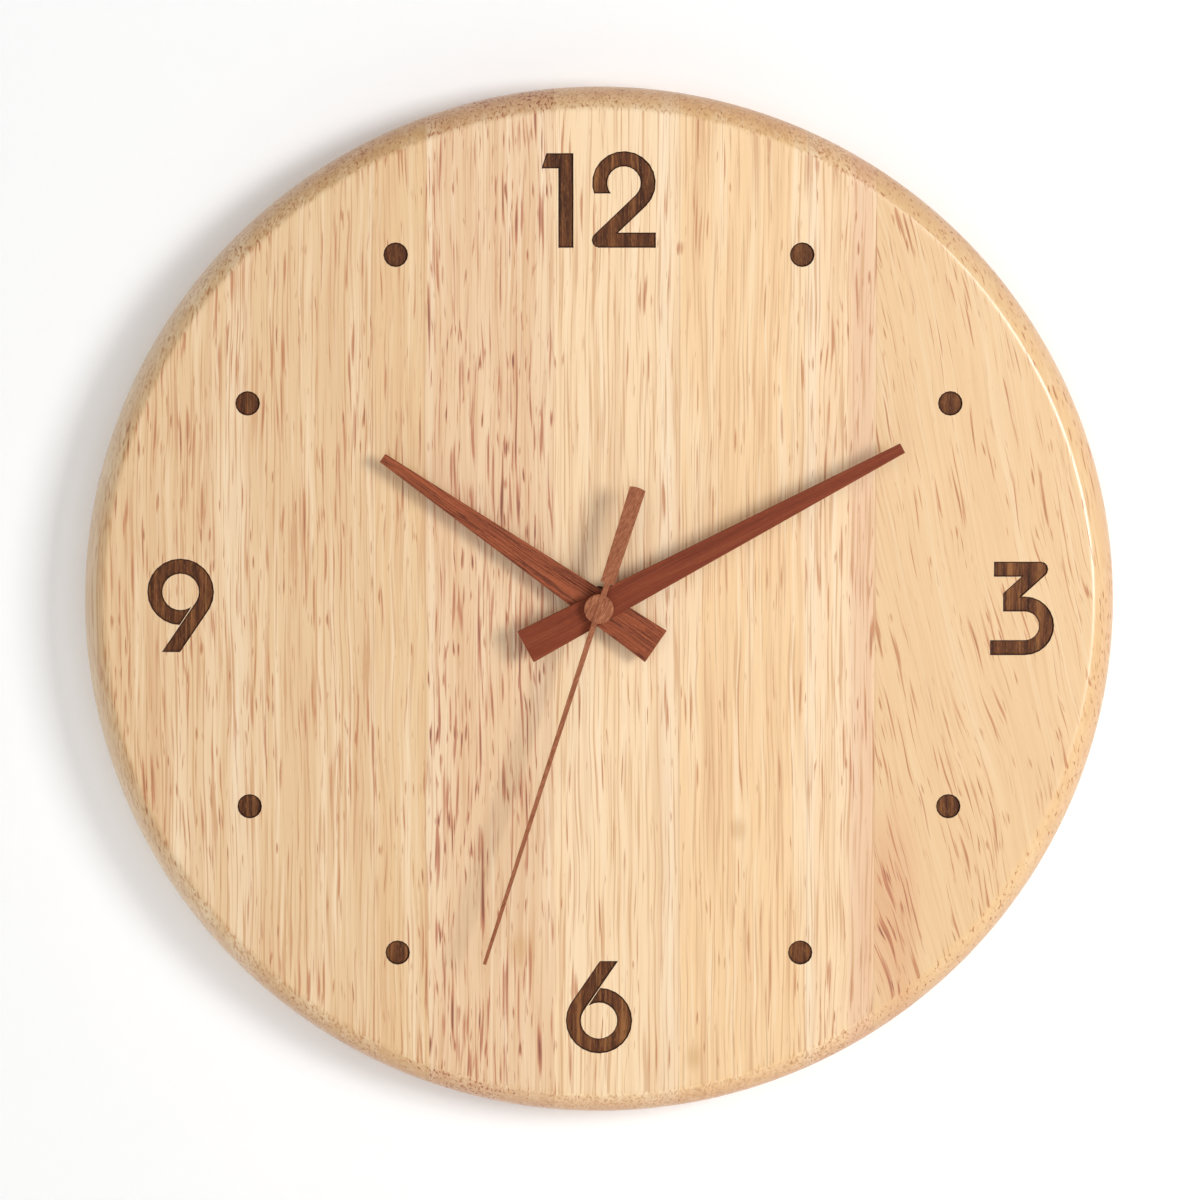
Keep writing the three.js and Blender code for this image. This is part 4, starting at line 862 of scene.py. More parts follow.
@dataclass(frozen=True)
class WoundCopper:
    """Fine enamelled wire wound round the bobbin."""

    pitch: float = 0.22
    # The dark colour in the hollows between the turns is painted shade.
    hollow: Colour = (110, 48, 20)
    crown: Colour = (214, 122, 66)
    enamel: Colour = (150, 70, 34)

    def build(self) -> Material:
        """Returns the winding's material."""
        sheet = Sheet("copper_winding")
        place = sheet.bench()
        x, _, _ = sheet.split(place)
        wave = sheet.calc(Sum.WAVE, sheet.times(x, 2 * math.pi / self.pitch))
        turns = sheet.calc(Sum.TIMES_PLUS, wave, 0.5, 0.5)
        cloud = sheet.noise(place, 0.8, 3.0, 0.6)
        # Painted shade: the colour darkens from the crown of each turn into the hollows between turns.
        colour = sheet.lay(turns, linear(self.hollow), linear(self.crown))
        colour = sheet.lay(sheet.span(cloud, 0.0, 0.4), colour, linear(self.enamel))
        return sheet.finish(
            Base_Color=colour,
            Metallic=0.8,
            Roughness=sheet.span(cloud, 0.3, 0.45),
            Normal=sheet.relief(turns, 0.06, 0.8),
        )


@dataclass(frozen=True)
class StageWall:
    """The pale studio wall, clear from its back and behind the clock, so that the clock's back is lit."""

    tint: Colour = (248, 248, 248)
    mottle: Colour = (250, 250, 249)
    glow: float = 0.12
    covered_radius: float = 149.0

    def build(self) -> Material:
        """Returns the wall's material."""
        sheet = Sheet("studio_wall")
        place = sheet.bench()
        mottle = sheet.noise(place, 0.004, 2.0, 0.5)
        colour = sheet.lay(sheet.span(mottle, 0.0, 0.3), linear(self.tint), linear(self.mottle))
        paint = sheet.nodes.new("ShaderNodeBsdfDiffuse")
        sheet.feed(paint.inputs["Color"], colour)
        glow = sheet.nodes.new("ShaderNodeEmission")
        glow.inputs["Strength"].default_value = self.glow
        lit = sheet.nodes.new("ShaderNodeAddShader")
        sheet.links.new(paint.outputs[0], lit.inputs[0])
        sheet.links.new(glow.outputs[0], lit.inputs[1])
        clear = sheet.nodes.new("ShaderNodeBsdfTransparent")
        choice = sheet.nodes.new("ShaderNodeMixShader")
        x, _, z = sheet.split(place)
        covered = sheet.calc(Sum.BELOW, sheet.reach(x, z), self.covered_radius)
        sheet.feed(choice.inputs[0], sheet.most(covered, sheet.seen_from_behind()))
        sheet.links.new(lit.outputs[0], choice.inputs[1])
        sheet.links.new(clear.outputs[0], choice.inputs[2])
        output = sheet.nodes.new("ShaderNodeOutputMaterial")
        sheet.links.new(choice.outputs[0], output.inputs["Surface"])
        return sheet.material


# Making meshes


def to_object(name: str, mesh: Mesh, material: Material, sharp_deg: float = 35.0) -> Piece:
    """Turns a working mesh into an object with smooth sides and sharp edges.

    Args:
        name: The piece's name.
        mesh: The working mesh, which is freed.
        material: Its finish.
        sharp_deg: Edges that turn by more than this stay sharp.

    Returns:
        The object, linked to the scene.
    """
    kept = {edge.index for edge in mesh.edges if not edge.smooth}
    data = bpy.data.meshes.new(name)
    mesh.to_mesh(data)
    mesh.free()
    data.polygons.foreach_set("use_smooth", [True] * len(data.polygons))
    data.set_sharp_from_angle(angle=math.radians(sharp_deg))
    for index in kept:
        data.edges[index].use_edge_sharp = True
    data.materials.append(material)
    piece = bpy.data.objects.new(name, data)
    bpy.context.scene.collection.objects.link(piece)
    return piece


def dress(
    node: Piece,
    material: Material,
    round_mm: float = 0.0,
    limit_deg: float = 40.0,
    steps: int = 2,
) -> None:
    """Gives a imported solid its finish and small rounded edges.

    Args:
        node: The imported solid.
        material: Its finish.
        round_mm: The radius of its edges.
        limit_deg: Edges that turn by less stay as they are.
        steps: Facets on each rounded edge.
    """
    data = node.data
    data.materials.clear()
    data.materials.append(material)
    if "custom_normal" in data.attributes:
        data.attributes.remove(data.attributes["custom_normal"])
    data.polygons.foreach_set("use_smooth", [True] * len(data.polygons))
    weld = node.modifiers.new("weld", "WELD")
    weld.merge_threshold = TINY
    if round_mm:
        bevel = node.modifiers.new("rounded_edges", "BEVEL")
        bevel.width = round_mm * MM
        bevel.segments = steps
        bevel.limit_method = "ANGLE"
        bevel.angle_limit = math.radians(limit_deg)
        bevel.miter_outer = "MITER_SHARP"
        bevel.use_clamp_overlap = True
        bevel.harden_normals = False
    split = node.modifiers.new("edge_split", "EDGE_SPLIT")
    split.split_angle = math.radians(38.0)
    flat = node.modifiers.new("flat_faces", "WEIGHTED_NORMAL")
    flat.mode = "FACE_AREA"
    flat.weight = 100
    flat.keep_sharp = True


def walk_loops(edges: Iterable[bmesh.types.BMEdge]) -> list[list[Corner]]:
    """Sorts boundary edges into closed loops.

    Args:
        edges: The edges.

    Returns:
        Each loop as its vertices in order.
    """
    beside: dict[Corner, list[Corner]] = {}
    for edge in edges:
        a, b = edge.verts
        beside.setdefault(a, []).append(b)
        beside.setdefault(b, []).append(a)
    loops = []
    while beside:
        start = next(iter(beside))
        loop, here, last = [start], start, None
        while True:
            following = [v for v in beside[here] if v is not last and (v is start or v not in loop)]
            following = [v for v in following if v is not start or len(loop) > 2]
            if not following or following[0] is start:
                break
            last, here = here, following[0]
            loop.append(here)
        for vertex in loop:
            beside.pop(vertex, None)
        loops.append(loop)
    return loops


def lathe(
    mesh: Mesh,
    outline: Sequence[Point],
    centre: Sequence[float],
    axis: Sequence[float],
    sides: int = 96,
    ribs: int = 0,
    rib_depth: float = 0.0,
    rib_from: float = 0.0,
) -> list[bmesh.types.BMFace]:
    """Turns an outline round an axis into a closed shell.

    Args:
        mesh: The working mesh.
        outline: Radius and place along the axis of each corner, in millimetres.
        centre: A point of the axis, in millimetres.
        axis: The axis's direction.
        sides: How many facets go round.
        ribs: How many ribs go round.
        rib_depth: How deep the hollows between the ribs are.
        rib_from: The radius from which the ribs show.

    Returns:
        The shell's faces.
    """
    along = Vector(axis).normalized()
    across = Vector((0.0, 0.0, 1.0)) if abs(along.z) < 0.9 else Vector((1.0, 0.0, 0.0))
    beside = along.cross(across)
    rings: list[list[Corner]] = []
    for radius, place in outline:
        middle = Vector(centre) + along * place
        if radius == 0:
            rings.append([mesh.verts.new(middle * MM)])
            continue
        ring = []
        for i in range(sides):
            turn = 2 * math.pi * i / sides
            hollow = rib_depth * (0.5 - 0.5 * math.cos(ribs * turn)) if radius > rib_from else 0.0
            reach = radius - hollow
            corner = middle + across * (reach * math.cos(turn)) + beside * (reach * math.sin(turn))
            ring.append(mesh.verts.new(corner * MM))
        rings.append(ring)
    faces = []
    for first, second in zip(rings, rings[1:]):
        for i in range(sides):
            j = (i + 1) % sides
            if len(first) == 1:
                faces.append(mesh.faces.new((first[0], second[i], second[j])))
            elif len(second) == 1:
                faces.append(mesh.faces.new((first[j], first[i], second[0])))
            else:
                faces.append(mesh.faces.new((first[i], second[i], second[j], first[j])))
    return faces


def wrap(mesh: Mesh, first: Sequence[Corner], second: Sequence[Corner]) -> list[bmesh.types.BMFace]:
    """Joins two closed loops of corners with a band of faces."""
    ahead = [*range(1, len(first)), 0]
    return [mesh.faces.new((first[i], first[j], second[j], second[i])) for i, j in enumerate(ahead)]


def edges_of(mesh: Mesh, loop: Sequence[Corner]) -> list[bmesh.types.BMEdge]:
    """Returns the edges of a closed loop of corners."""
    return [mesh.edges.get(pair) for pair in zip(loop, [*loop[1:], loop[0]])]


def fill(mesh: Mesh, edges: Sequence[bmesh.types.BMEdge], towards: float) -> int:
    """Fills between closed loops with flat faces.

    Args:
        mesh: The working mesh.
        edges: The edges of all the loops.
        towards: 1 if the faces look towards the wall, -1 if they look into the room.

    Returns:
        How many pieces were added.
    """
    normal = (0.0, towards, 0.0)
    made = bmesh.ops.triangle_fill(mesh, use_beauty=True, use_dissolve=False, edges=edges, normal=normal)
    return len(made["geom"])


def slab(mesh: Mesh, outline: Sequence[Point], front: float, back: float) -> None:
    """Adds a flat raised shape that stands on a surface facing the wall.

    Args:
        mesh: The working mesh.
        outline: Its corners as x and z, in millimetres.
        front: The y of its hidden side, in millimetres.
        back: The y of its raised side, in millimetres.
    """
    low = [mesh.verts.new(Vector((x, front, z)) * MM) for x, z in outline]
    high = [mesh.verts.new(Vector((x, back, z)) * MM) for x, z in outline]
    mesh.faces.new(low)
    mesh.faces.new(high)
    wrap(mesh, low, high)


def spot(centre: Point, radius: float, turn_deg: float) -> Point:
    """Returns the point at a radius and a turn from a centre."""
    turn = math.radians(turn_deg)
    return (centre[0] + radius * math.cos(turn), centre[1] + radius * math.sin(turn))


def arc(centre: Point, radius: float, start_deg: float, end_deg: float, steps: int) -> list[Point]:
    """Returns points along an arc, from one angle to another."""
    return [spot(centre, radius, start_deg + (end_deg - start_deg) * i / steps) for i in range(steps + 1)]


@dataclass(frozen=True)
class CurvedArrow:
    """A raised curved line with an arrow head at both ends."""

    centre: Point
    start: float
    end: float
    outer: float
    inner: float
    tip: float
    barbs: Point
    tip_reach: float
    barb_reach: float
    steps: int
    head_drop: float = 0.01

    def build(self, mesh: Mesh, front: float, back: float) -> None:
        """Adds the arrow to a mesh.

        Args:
            mesh: The working mesh.
            front: The y of its hidden side, in millimetres.
            back: The y of its raised side, in millimetres.
        """
        band = arc(self.centre, self.outer, self.start, self.end, self.steps)
        band += arc(self.centre, self.inner, self.end, self.start, self.steps)
        slab(mesh, band, front, back)
        for turn, way in ((self.start, -1.0), (self.end, 1.0)):
            tip = spot(self.centre, self.tip, turn + way * self.tip_reach)
            wings = [spot(self.centre, radius, turn - way * self.barb_reach) for radius in self.barbs]
            slab(mesh, [tip, *wings], front, back - self.head_drop)


@dataclass
class DialBoard:
    """The round board: flat face, let-in pockets, rounded rim and the hollows at its back."""

    frame: dict
    radius: float = 150.0
    thickness: float = 24.0
    face_radius: float = 143.5
    rim_break_deg: float = 25.0
    crease_radius: float = 3.6
    back_radius: float = 3.0
    mouth_radius: float = 0.17
    # Pocket walls more than this far off the wall take the dark edge finish, partly painted shade in the
    # gap round the inlays.
    dark_edge_above: float = 20.5
    hole_reach: float = 8.0
    sides: int = 320
    rim_steps: int = 22
    crease_steps: int = 7
    back_steps: int = 8
    mouth_steps: int = 3
    sharpest_miter: float = 0.4
    rim_margin: float = 0.6
    near: float = 2e-6

    def profile(self) -> list[Point]:
        """Returns the outline from the face round the rim to the back, as radius and height."""
        flare = math.radians(self.rim_break_deg)
        bow = (self.radius - self.face_radius) / (1 - math.sin(flare))
        centre_r = self.radius - bow
        centre_h = self.thickness - bow * math.cos(flare)
        crease_r = self.face_radius - self.crease_radius * math.tan(flare / 2)
        points: list[Point] = []
        for step in range(self.crease_steps + 1):
            turn = flare * step / self.crease_steps
            drop = self.crease_radius * (1 - math.cos(turn))
            points.append((crease_r + self.crease_radius * math.sin(turn), self.thickness - drop))
        crease_end = points[-1][0]
        for step in range(1, self.rim_steps + 1):
            turn = flare + (math.pi / 2 - flare) * step / self.rim_steps
            radius = centre_r + bow * math.sin(turn)
            if radius > crease_end:
                points.append((radius, centre_h + bow * math.cos(turn)))
        points.append((self.radius, (centre_h + self.back_radius) / 2))
        for step in range(self.back_steps + 1):
            turn = math.pi / 2 * step / self.back_steps
            radius = self.radius - self.back_radius * (1 - math.cos(turn))
            points.append((radius, self.back_radius * (1 - math.sin(turn))))
        return points

    @staticmethod
    def around(radius: float, height: float, turn: float) -> Vector:
        """Returns a point at a radius from the arbor, a height off the wall and a turn."""
        return Vector((radius * math.cos(turn), -height, radius * math.sin(turn) + ARBOR_Z)) * MM

    def mouth(self, mesh: Mesh, loop: list[Corner], plane: float, inward: float) -> list[Corner]:
        """Rounds the mouth of one pocket.

        Args:
            mesh: The working mesh.
            loop: The pocket's mouth, which moves a little into the board.
            plane: The surface's y, in metres.
            inward: 1 if the board lies towards +y from that surface, else -1.

        Returns:
            The new mouth, on the surface.
        """
        points = [(v.co.x, v.co.z) for v in loop]
        ahead = points[1:] + points[:1]
        area = sum(x * next_z - next_x * z for (x, z), (next_x, next_z) in zip(points, ahead))
        sign = 1.0 if area > 0 else -1.0
        offsets = []
        for before, here, after in zip(points[-1:] + points[:-1], points, ahead):
            first = Vector((here[0] - before[0], here[1] - before[1])).normalized()
            second = Vector((after[0] - here[0], after[1] - here[1])).normalized()
            normal_a = Vector((first.y, -first.x)) * sign
            middle = normal_a + Vector((second.y, -second.x)) * sign
            if middle.length < TINY:
                middle = normal_a.copy()
            middle.normalize()
            offsets.append(middle / max(self.sharpest_miter, middle.dot(normal_a)))
        size = self.mouth_radius * MM
        rings = [loop]
        for vertex in loop:
            vertex.co.y = plane + inward * size
        for step in range(1, self.mouth_steps + 1):
            turn = math.pi / 2 * step / self.mouth_steps
            out = size * (1 - math.cos(turn))
            level = plane + inward * (size * (1 - math.sin(turn)))
            corners = [(p[0] + o.x * out, level, p[1] + o.y * out) for p, o in zip(points, offsets)]
            rings.append([mesh.verts.new(corner) for corner in corners])
        for inner, outer in zip(rings, rings[1:]):
            # Lips on the face side take the dark edge finish, partly painted shade.
            for lip in wrap(mesh, inner, outer):
                lip.material_index = 1 if inward > 0 else 0
        return rings[-1]

    def build(self, material: Material, dark_edge_and_shade: Material) -> Piece:
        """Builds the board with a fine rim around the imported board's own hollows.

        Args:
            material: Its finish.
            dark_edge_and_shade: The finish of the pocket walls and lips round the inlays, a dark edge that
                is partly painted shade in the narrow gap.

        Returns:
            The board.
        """
        node = self.frame["nodes"]["dial_board"]
        mesh = bmesh.new()
        mesh.from_mesh(node.data)
        bmesh.ops.remove_doubles(mesh, verts=mesh.verts, dist=self.near)
        face_y, back_y = -self.thickness * MM, 0.0

        def from_arbor(vertex: Corner) -> float:
            """Returns the distance from the arbor's axis."""
            return math.hypot(vertex.co.x, vertex.co.z - ARBOR_Z * MM)

        def lying_at(level: float) -> list[bmesh.types.BMFace]:
            """Returns the faces that lie flat at a y."""
            return [f for f in mesh.faces if all(abs(v.co.y - level) < self.near for v in f.verts)]

        faces = {"face": lying_at(face_y), "back": lying_at(back_y)}
        flat = set(faces["face"]) | set(faces["back"])
        edge_of_rim = (self.face_radius - self.rim_margin) * MM
        rim = [f for f in mesh.faces if f not in flat and all(from_arbor(v) > edge_of_rim for v in f.verts)]
        mouths: dict[str, list[list[Corner]]] = {}
        for side, group in faces.items():
            members = set(group)
            border = {
                edge
                for face in group
                for edge in face.edges
                if any(other not in members for other in edge.link_faces)
            }
            loops = walk_loops(border)
            mouths[side] = [loop for loop in loops if from_arbor(loop[0]) < edge_of_rim]
        bmesh.ops.delete(mesh, geom=list(flat) + rim, context="FACES_ONLY")
        loose = [e for e in mesh.edges if not e.link_faces]
        keep = {v for group in mouths.values() for loop in group for v in loop}
        bmesh.ops.delete(mesh, geom=loose, context="EDGES")
        unused = [v for v in mesh.verts if not v.link_edges and v not in keep]
        bmesh.ops.delete(mesh, geom=unused, context="VERTS")

        # Pocket walls near the face get the dark edge finish: partly painted shade in the narrow gap round
        # the inlays.
        for wall in mesh.faces:
            glued = -wall.calc_center_median().y / MM > self.dark_edge_above
            wall.material_index = 1 if glued and from_arbor(wall.verts[0]) > self.hole_reach * MM else 0

        turns = [2 * math.pi * i / self.sides for i in range(self.sides)]
        rings = []
        for radius, height in self.profile():
            rings.append([mesh.verts.new(self.around(radius, height, turn)) for turn in turns])
        for upper, lower in zip(rings, rings[1:]):
            wrap(mesh, upper, lower)
        flats = (("face", face_y, 1.0, rings[0]), ("back", back_y, -1.0, rings[-1]))
        for side, plane, inward, outer in flats:
            borders = [outer] + [self.mouth(mesh, loop, plane, inward) for loop in mouths[side]]
            edges = [edge for border in borders for edge in edges_of(mesh, border)]
            added = fill(mesh, edges, -inward)
            for edge in edges:
                edge.smooth = False
            LOG.info("dial_board %s: %d hollows, %d faces", side, len(mouths[side]), added)
        bmesh.ops.recalc_face_normals(mesh, faces=mesh.faces)
        mesh.edges.index_update()
        board = to_object("dial_board_wood", mesh, material, 40.0)
        board.data.materials.append(dark_edge_and_shade)
        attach(board, BODY)
        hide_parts("dial_board")
        return board


@dataclass
class HourMarks:
    """The let-in numerals and dots."""

    frame: dict
    edge: float = 0.12

    def build(self, material: Material) -> list[Piece]:
        """Dresses the numerals and dots.

        Args:
            material: Their finish.

        Returns:
            The pieces.
        """
        marks = [n for name, n in self.frame["nodes"].items() if name.startswith(("numeral_", "hour_dot_"))]
        for mark in marks:
            dress(mark, material, self.edge, 50.0)
        return marks


@dataclass
class Hands:
    """The three hands with their bushes."""

    frame: dict
    edge: float = 0.16
    hour_angle: float = 304.7
    minute_angle: float = 62.1
    second_angle: float = 197.8

    def build(self, bronze: Material, steel: Material) -> list[Piece]:
        """Dresses the hands.

        Args:
            bronze: The finish of the bushes, nut, threaded bush and washer, darkened as painted shade at
                the hub.
            steel: The second hand's tube.

        Returns:
            The pieces.
        """
        nodes = self.frame["nodes"]
        woods = {
            "hour_hand": DarkWood(
                "hour_hand_wood",
                (166, 86, 53),
                (98, 42, 24),
                (184, 104, 66),
                streaks=0.3,
                lines=0.5,
                line_rate=3.2,
                line_run=0.04,
                flecks=0.4,
                threads=0.8,
                turn=math.radians(self.hour_angle),
            ),
            "minute_hand": DarkWood(
                "minute_hand_wood",
                (134, 60, 33),
                (108, 45, 25),
                (152, 78, 48),
                streaks=0.55,
                lines=0.22,
                line_rate=2.6,
                line_run=0.05,
                flecks=0.3,
                turn=math.radians(self.minute_angle),
            ),
            "second_hand": DarkWood(
                "second_hand_wood",
                (160, 95, 63),
                (112, 56, 34),
                (194, 128, 92),
                streaks=0.2,
                lines=0.15,
                line_rate=1.5,
                line_run=0.08,
                flecks=0.8,
                turn=math.radians(self.second_angle + 12.0),
            ),
        }
        for name, wood in woods.items():
            dress(nodes[name], wood.build(), self.edge, 45.0)
        for name in ("hour_hand_bush", "minute_hand_bush"):
            dress(nodes[name], bronze, 0.08)
        dress(nodes["second_hand_tube"], steel, 0.05)
        # The nut, threaded bush and washer get the darkened metal: painted shade in the gap at the hub.
        for name in ("threaded_bush", "dial_nut", "dial_washer"):
            nodes[name].data.materials[0] = bronze
        return [nodes[name] for name in (*woods, "hour_hand_bush", "minute_hand_bush", "second_hand_tube")]


@dataclass
class Movement:
    """The movement behind the board, with its cell and the hanger."""

    frame: dict
    made: dict[str, Material] = field(default_factory=dict)

    def build(self) -> list[Piece]:
        """Dresses the pieces of the movement by their material slots.

        Returns:
            The pieces.
        """
        finishes = {
            "steel": Metal("bright_steel", (200, 202, 206), (150, 150, 150), 0.3),
            "brass": Metal("turned_brass", (214, 178, 92), (150, 112, 52), 0.26),
            "copper_winding": WoundCopper(),
            "rubber": Moulded("soft_rubber", (36, 36, 36), (28, 28, 29), 0.75, 3.0, 0.03),
            "case_plastic": Moulded("case_plastic", (42, 42, 45), (34, 34, 37), 0.42, 7.0, 0.03),
            "gear_plastic": Moulded("gear_plastic", (240, 238, 230), (232, 229, 219), 0.42, 4.0, 0.01),
            "knob_plastic": Moulded("knob_plastic", (226, 221, 206), (214, 208, 192), 0.42, 4.0, 0.01),
            "bobbin_plastic": Moulded("bobbin_plastic", (232, 227, 212), (222, 216, 200), 0.45, 4.0, 0.01),
            "magnet": Metal("sintered_magnet", (92, 92, 96), (66, 66, 68), 0.5),
            "circuit": Moulded("solder_resist", (44, 112, 62), (34, 92, 50), 0.38, 2.0, 0.02),
            "resin": Moulded("potting_resin", (18, 18, 20), (12, 12, 13), 0.22, 1.0, 0.02),
            "battery_jacket": BatterySleeve(),
        }
        edges = {
            "steel": 0.12,
            "brass": 0.1,
            "copper_winding": 0.1,
            "rubber": 0.15,
            "case_plastic": 0.25,
            "gear_plastic": 0.06,
            "knob_plastic": 0.2,
            "bobbin_plastic": 0.08,
            "magnet": 0.05,
            "circuit": 0.05,
            "resin": 0.2,
            "battery_jacket": 0.2,
        }
        self.made = {slot: finish.build() for slot, finish in finishes.items()}
        slots = {part["node"]: part["material_slot"] for part in self.frame["record"]["subparts"]}
        dressed = []
        for name, node in self.frame["nodes"].items():
            slot = slots[name]
            if slot in self.made:
                dress(node, self.made[slot], edges[slot])
                dressed.append(node)
        return dressed


@dataclass
class Cell:
    """The cell, turned: nub, insulating ring, crimped sleeve and flat end."""

    half: float = 25.25
    radius: float = 7.1
    nub: float = 2.75
    nub_length: float = 1.4
    centre: Place = (0.0, -9.1, -88.9)

    def outline(self) -> list[Point]:
        """Returns the cell's outline as radius and place along it."""
        end, shoulder = -self.half, -self.half + self.nub_length
        return [
            (0.0, end),
            (self.nub - 0.3, end),
            (self.nub - 0.1, end + 0.06),
            (self.nub, end + 0.28),
            (self.nub, shoulder - 0.1),
            (self.nub + 0.25, shoulder),
            (4.5, shoulder + 0.02),
            (4.7, shoulder + 0.3),
            (5.7, shoulder + 0.3),
            (5.85, shoulder + 0.05),
            (self.radius - 0.5, shoulder + 0.05),
            (self.radius - 0.12, shoulder + 0.2),
            (self.radius, shoulder + 0.6),
            (self.radius, shoulder + 1.7),
            (self.radius - 0.16, shoulder + 1.95),
            (self.radius - 0.16, shoulder + 2.25),
            (self.radius, shoulder + 2.5),
            (self.radius, self.half - 0.7),
            (self.radius - 0.12, self.half - 0.25),
            (self.radius - 0.5, self.half - 0.05),
            (5.6, self.half),
            (5.35, self.half - 0.22),
            (4.85, self.half - 0.22),
            (4.6, self.half),
            (0.0, self.half),
        ]

    def build(self, sleeve: Material, can: Material) -> Piece:
        """Builds the cell.

        Args:
            sleeve: The finish of its sleeve.
            can: The finish of its bare ends.

        Returns:
            The cell.
        """
        mesh = bmesh.new()
        faces = lathe(mesh, self.outline(), self.centre, (1.0, 0.0, 0.0), 128)
        for face in faces:
            middle = face.calc_center_median() / MM
            reach = math.hypot(middle.y - self.centre[1], middle.z - self.centre[2])
            face.material_index = 1 if abs(middle.x) > self.half - 2.0 and reach < self.radius - 0.45 else 0
        bmesh.ops.recalc_face_normals(mesh, faces=mesh.faces)
        cell = to_object("battery_cell", mesh, sleeve, 30.0)
        cell.data.materials.append(can)
        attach(cell, "battery")
        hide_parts("battery")
        return cell


@dataclass
class SettingKnob:
    """The ribbed setting knob with a sunk face and a raised double arrow."""

    centre: Point = (-17.0, -70.0)
    radius: float = 6.0
    back: float = -1.0
    front: float = -3.2
    shaft_bore: float = 1.4
    shaft_end: float = -1.7
    ribs: int = 18
    rib_depth: float = 0.35
    ribs_from: float = 5.4
    facets_to_a_rib: int = 10

    def outline(self) -> list[Point]:
        """Returns the knob's outline as radius and height off the wall."""
        return [
            (0.0, self.back - 0.35),
            (3.9, self.back - 0.35),
            (4.1, self.back - 0.28),
            (4.35, self.back - 0.04),
            (4.6, self.back),
            (self.radius - 0.75, self.back),
            (self.radius - 0.3, self.back - 0.1),
            (self.radius, self.back - 0.38),
            (self.radius, self.front + 0.25),
            (self.radius - 0.25, self.front),
            (self.shaft_bore, self.front),
            (self.shaft_bore, self.shaft_end),
            (0.0, self.shaft_end),
        ]

    def build(self, material: Material) -> Piece:
        """Builds the knob.

        Args:
            material: Its finish.

        Returns:
            The knob.
        """
        mesh = bmesh.new()
        x, z = self.centre
        sides = self.ribs * self.facets_to_a_rib
        upright = (0.0, 1.0, 0.0)
        lathe(mesh, self.outline(), (x, 0.0, z), upright, sides, self.ribs, self.rib_depth, self.ribs_from)
        floor, top = self.back - 0.45, self.back - 0.12
        for start in (-55.0, 125.0):
            arrow = CurvedArrow(self.centre, start, start + 110.0, 3.1, 2.5, 2.8, (3.7, 1.9), 26.0, 2.0, 24)
            arrow.build(mesh, floor, top)
        bmesh.ops.recalc_face_normals(mesh, faces=mesh.faces)
        knob = to_object("setting_knob_ribbed", mesh, material, 30.0)
        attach(knob, "setting_knob")
        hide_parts("setting_knob")
        return knob


@dataclass
class HangerScrew:
    """A countersunk screw of the hanger, with a cross recess."""

    name: str
    z: float
    head: float = 2.8
    shank: float = 1.4
    face: float = -0.3
    end: float = -11.3
    cross_reach: float = 1.45
    cross_half: float = 0.34
    cross_depth: float = 1.2
    cross_turn_deg: float = 17.0
    thread_from: float = 0.8
    thread_pitch: float = 0.75
    thread_depth: float = 0.3
    sides: int = 72

    def cross(self, share: float) -> list[Point]:
        """Returns the cross's corners, shrunk to a share of its size."""
        a, b = self.cross_half, self.cross_reach * share
        corners = [(a, b), (a, a), (b, a), (b, -a), (a, -a), (a, -b)]
        corners += [(-x, -z) for x, z in corners]
        turn = math.radians(self.cross_turn_deg)
        cos, sin = math.cos(turn), math.sin(turn)
        return [(x * cos - z * sin, x * sin + z * cos) for x, z in corners]

    def build(self, material: Material) -> Piece:
        """Builds the screw.

        Args:
            material: Its finish.

        Returns:
            The screw.
        """
        mesh = bmesh.new()
        neck = self.face - (self.head - self.shank)
        outline = [(self.head - 0.12, self.face), (self.head, self.face - 0.08), (self.shank, neck)]
        root, turn_height = self.shank - self.thread_depth, 2 * self.thread_depth
        thread = neck - self.thread_from
        while thread > self.end + self.shank + turn_height:
            outline.append((self.shank, thread))
            outline.append((root, thread - self.thread_depth))
            outline.append((self.shank, thread - turn_height))
            thread -= self.thread_pitch
        outline += [(self.shank - 0.1, self.end + self.shank), (0.0, self.end)]
        lathe(mesh, outline, (0.0, 0.0, self.z), (0.0, 1.0, 0.0), self.sides)
        rim = [edge for edge in mesh.edges if edge.is_boundary]
        mouth, floor = (
            [mesh.verts.new(Vector((x, self.face - depth, self.z + z)) * MM) for x, z in self.cross(share)]
            for share, depth in ((1.0, 0.0), (0.5, self.cross_depth))
        )
        wrap(mesh, mouth, floor)
        mesh.faces.new(floor)
        fill(mesh, rim + edges_of(mesh, mouth), 1.0)
        bmesh.ops.recalc_face_normals(mesh, faces=mesh.faces)
        screw = to_object(self.name + "_cross", mesh, material, 30.0)
        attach(screw, BODY)
        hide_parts(self.name)
        return screw


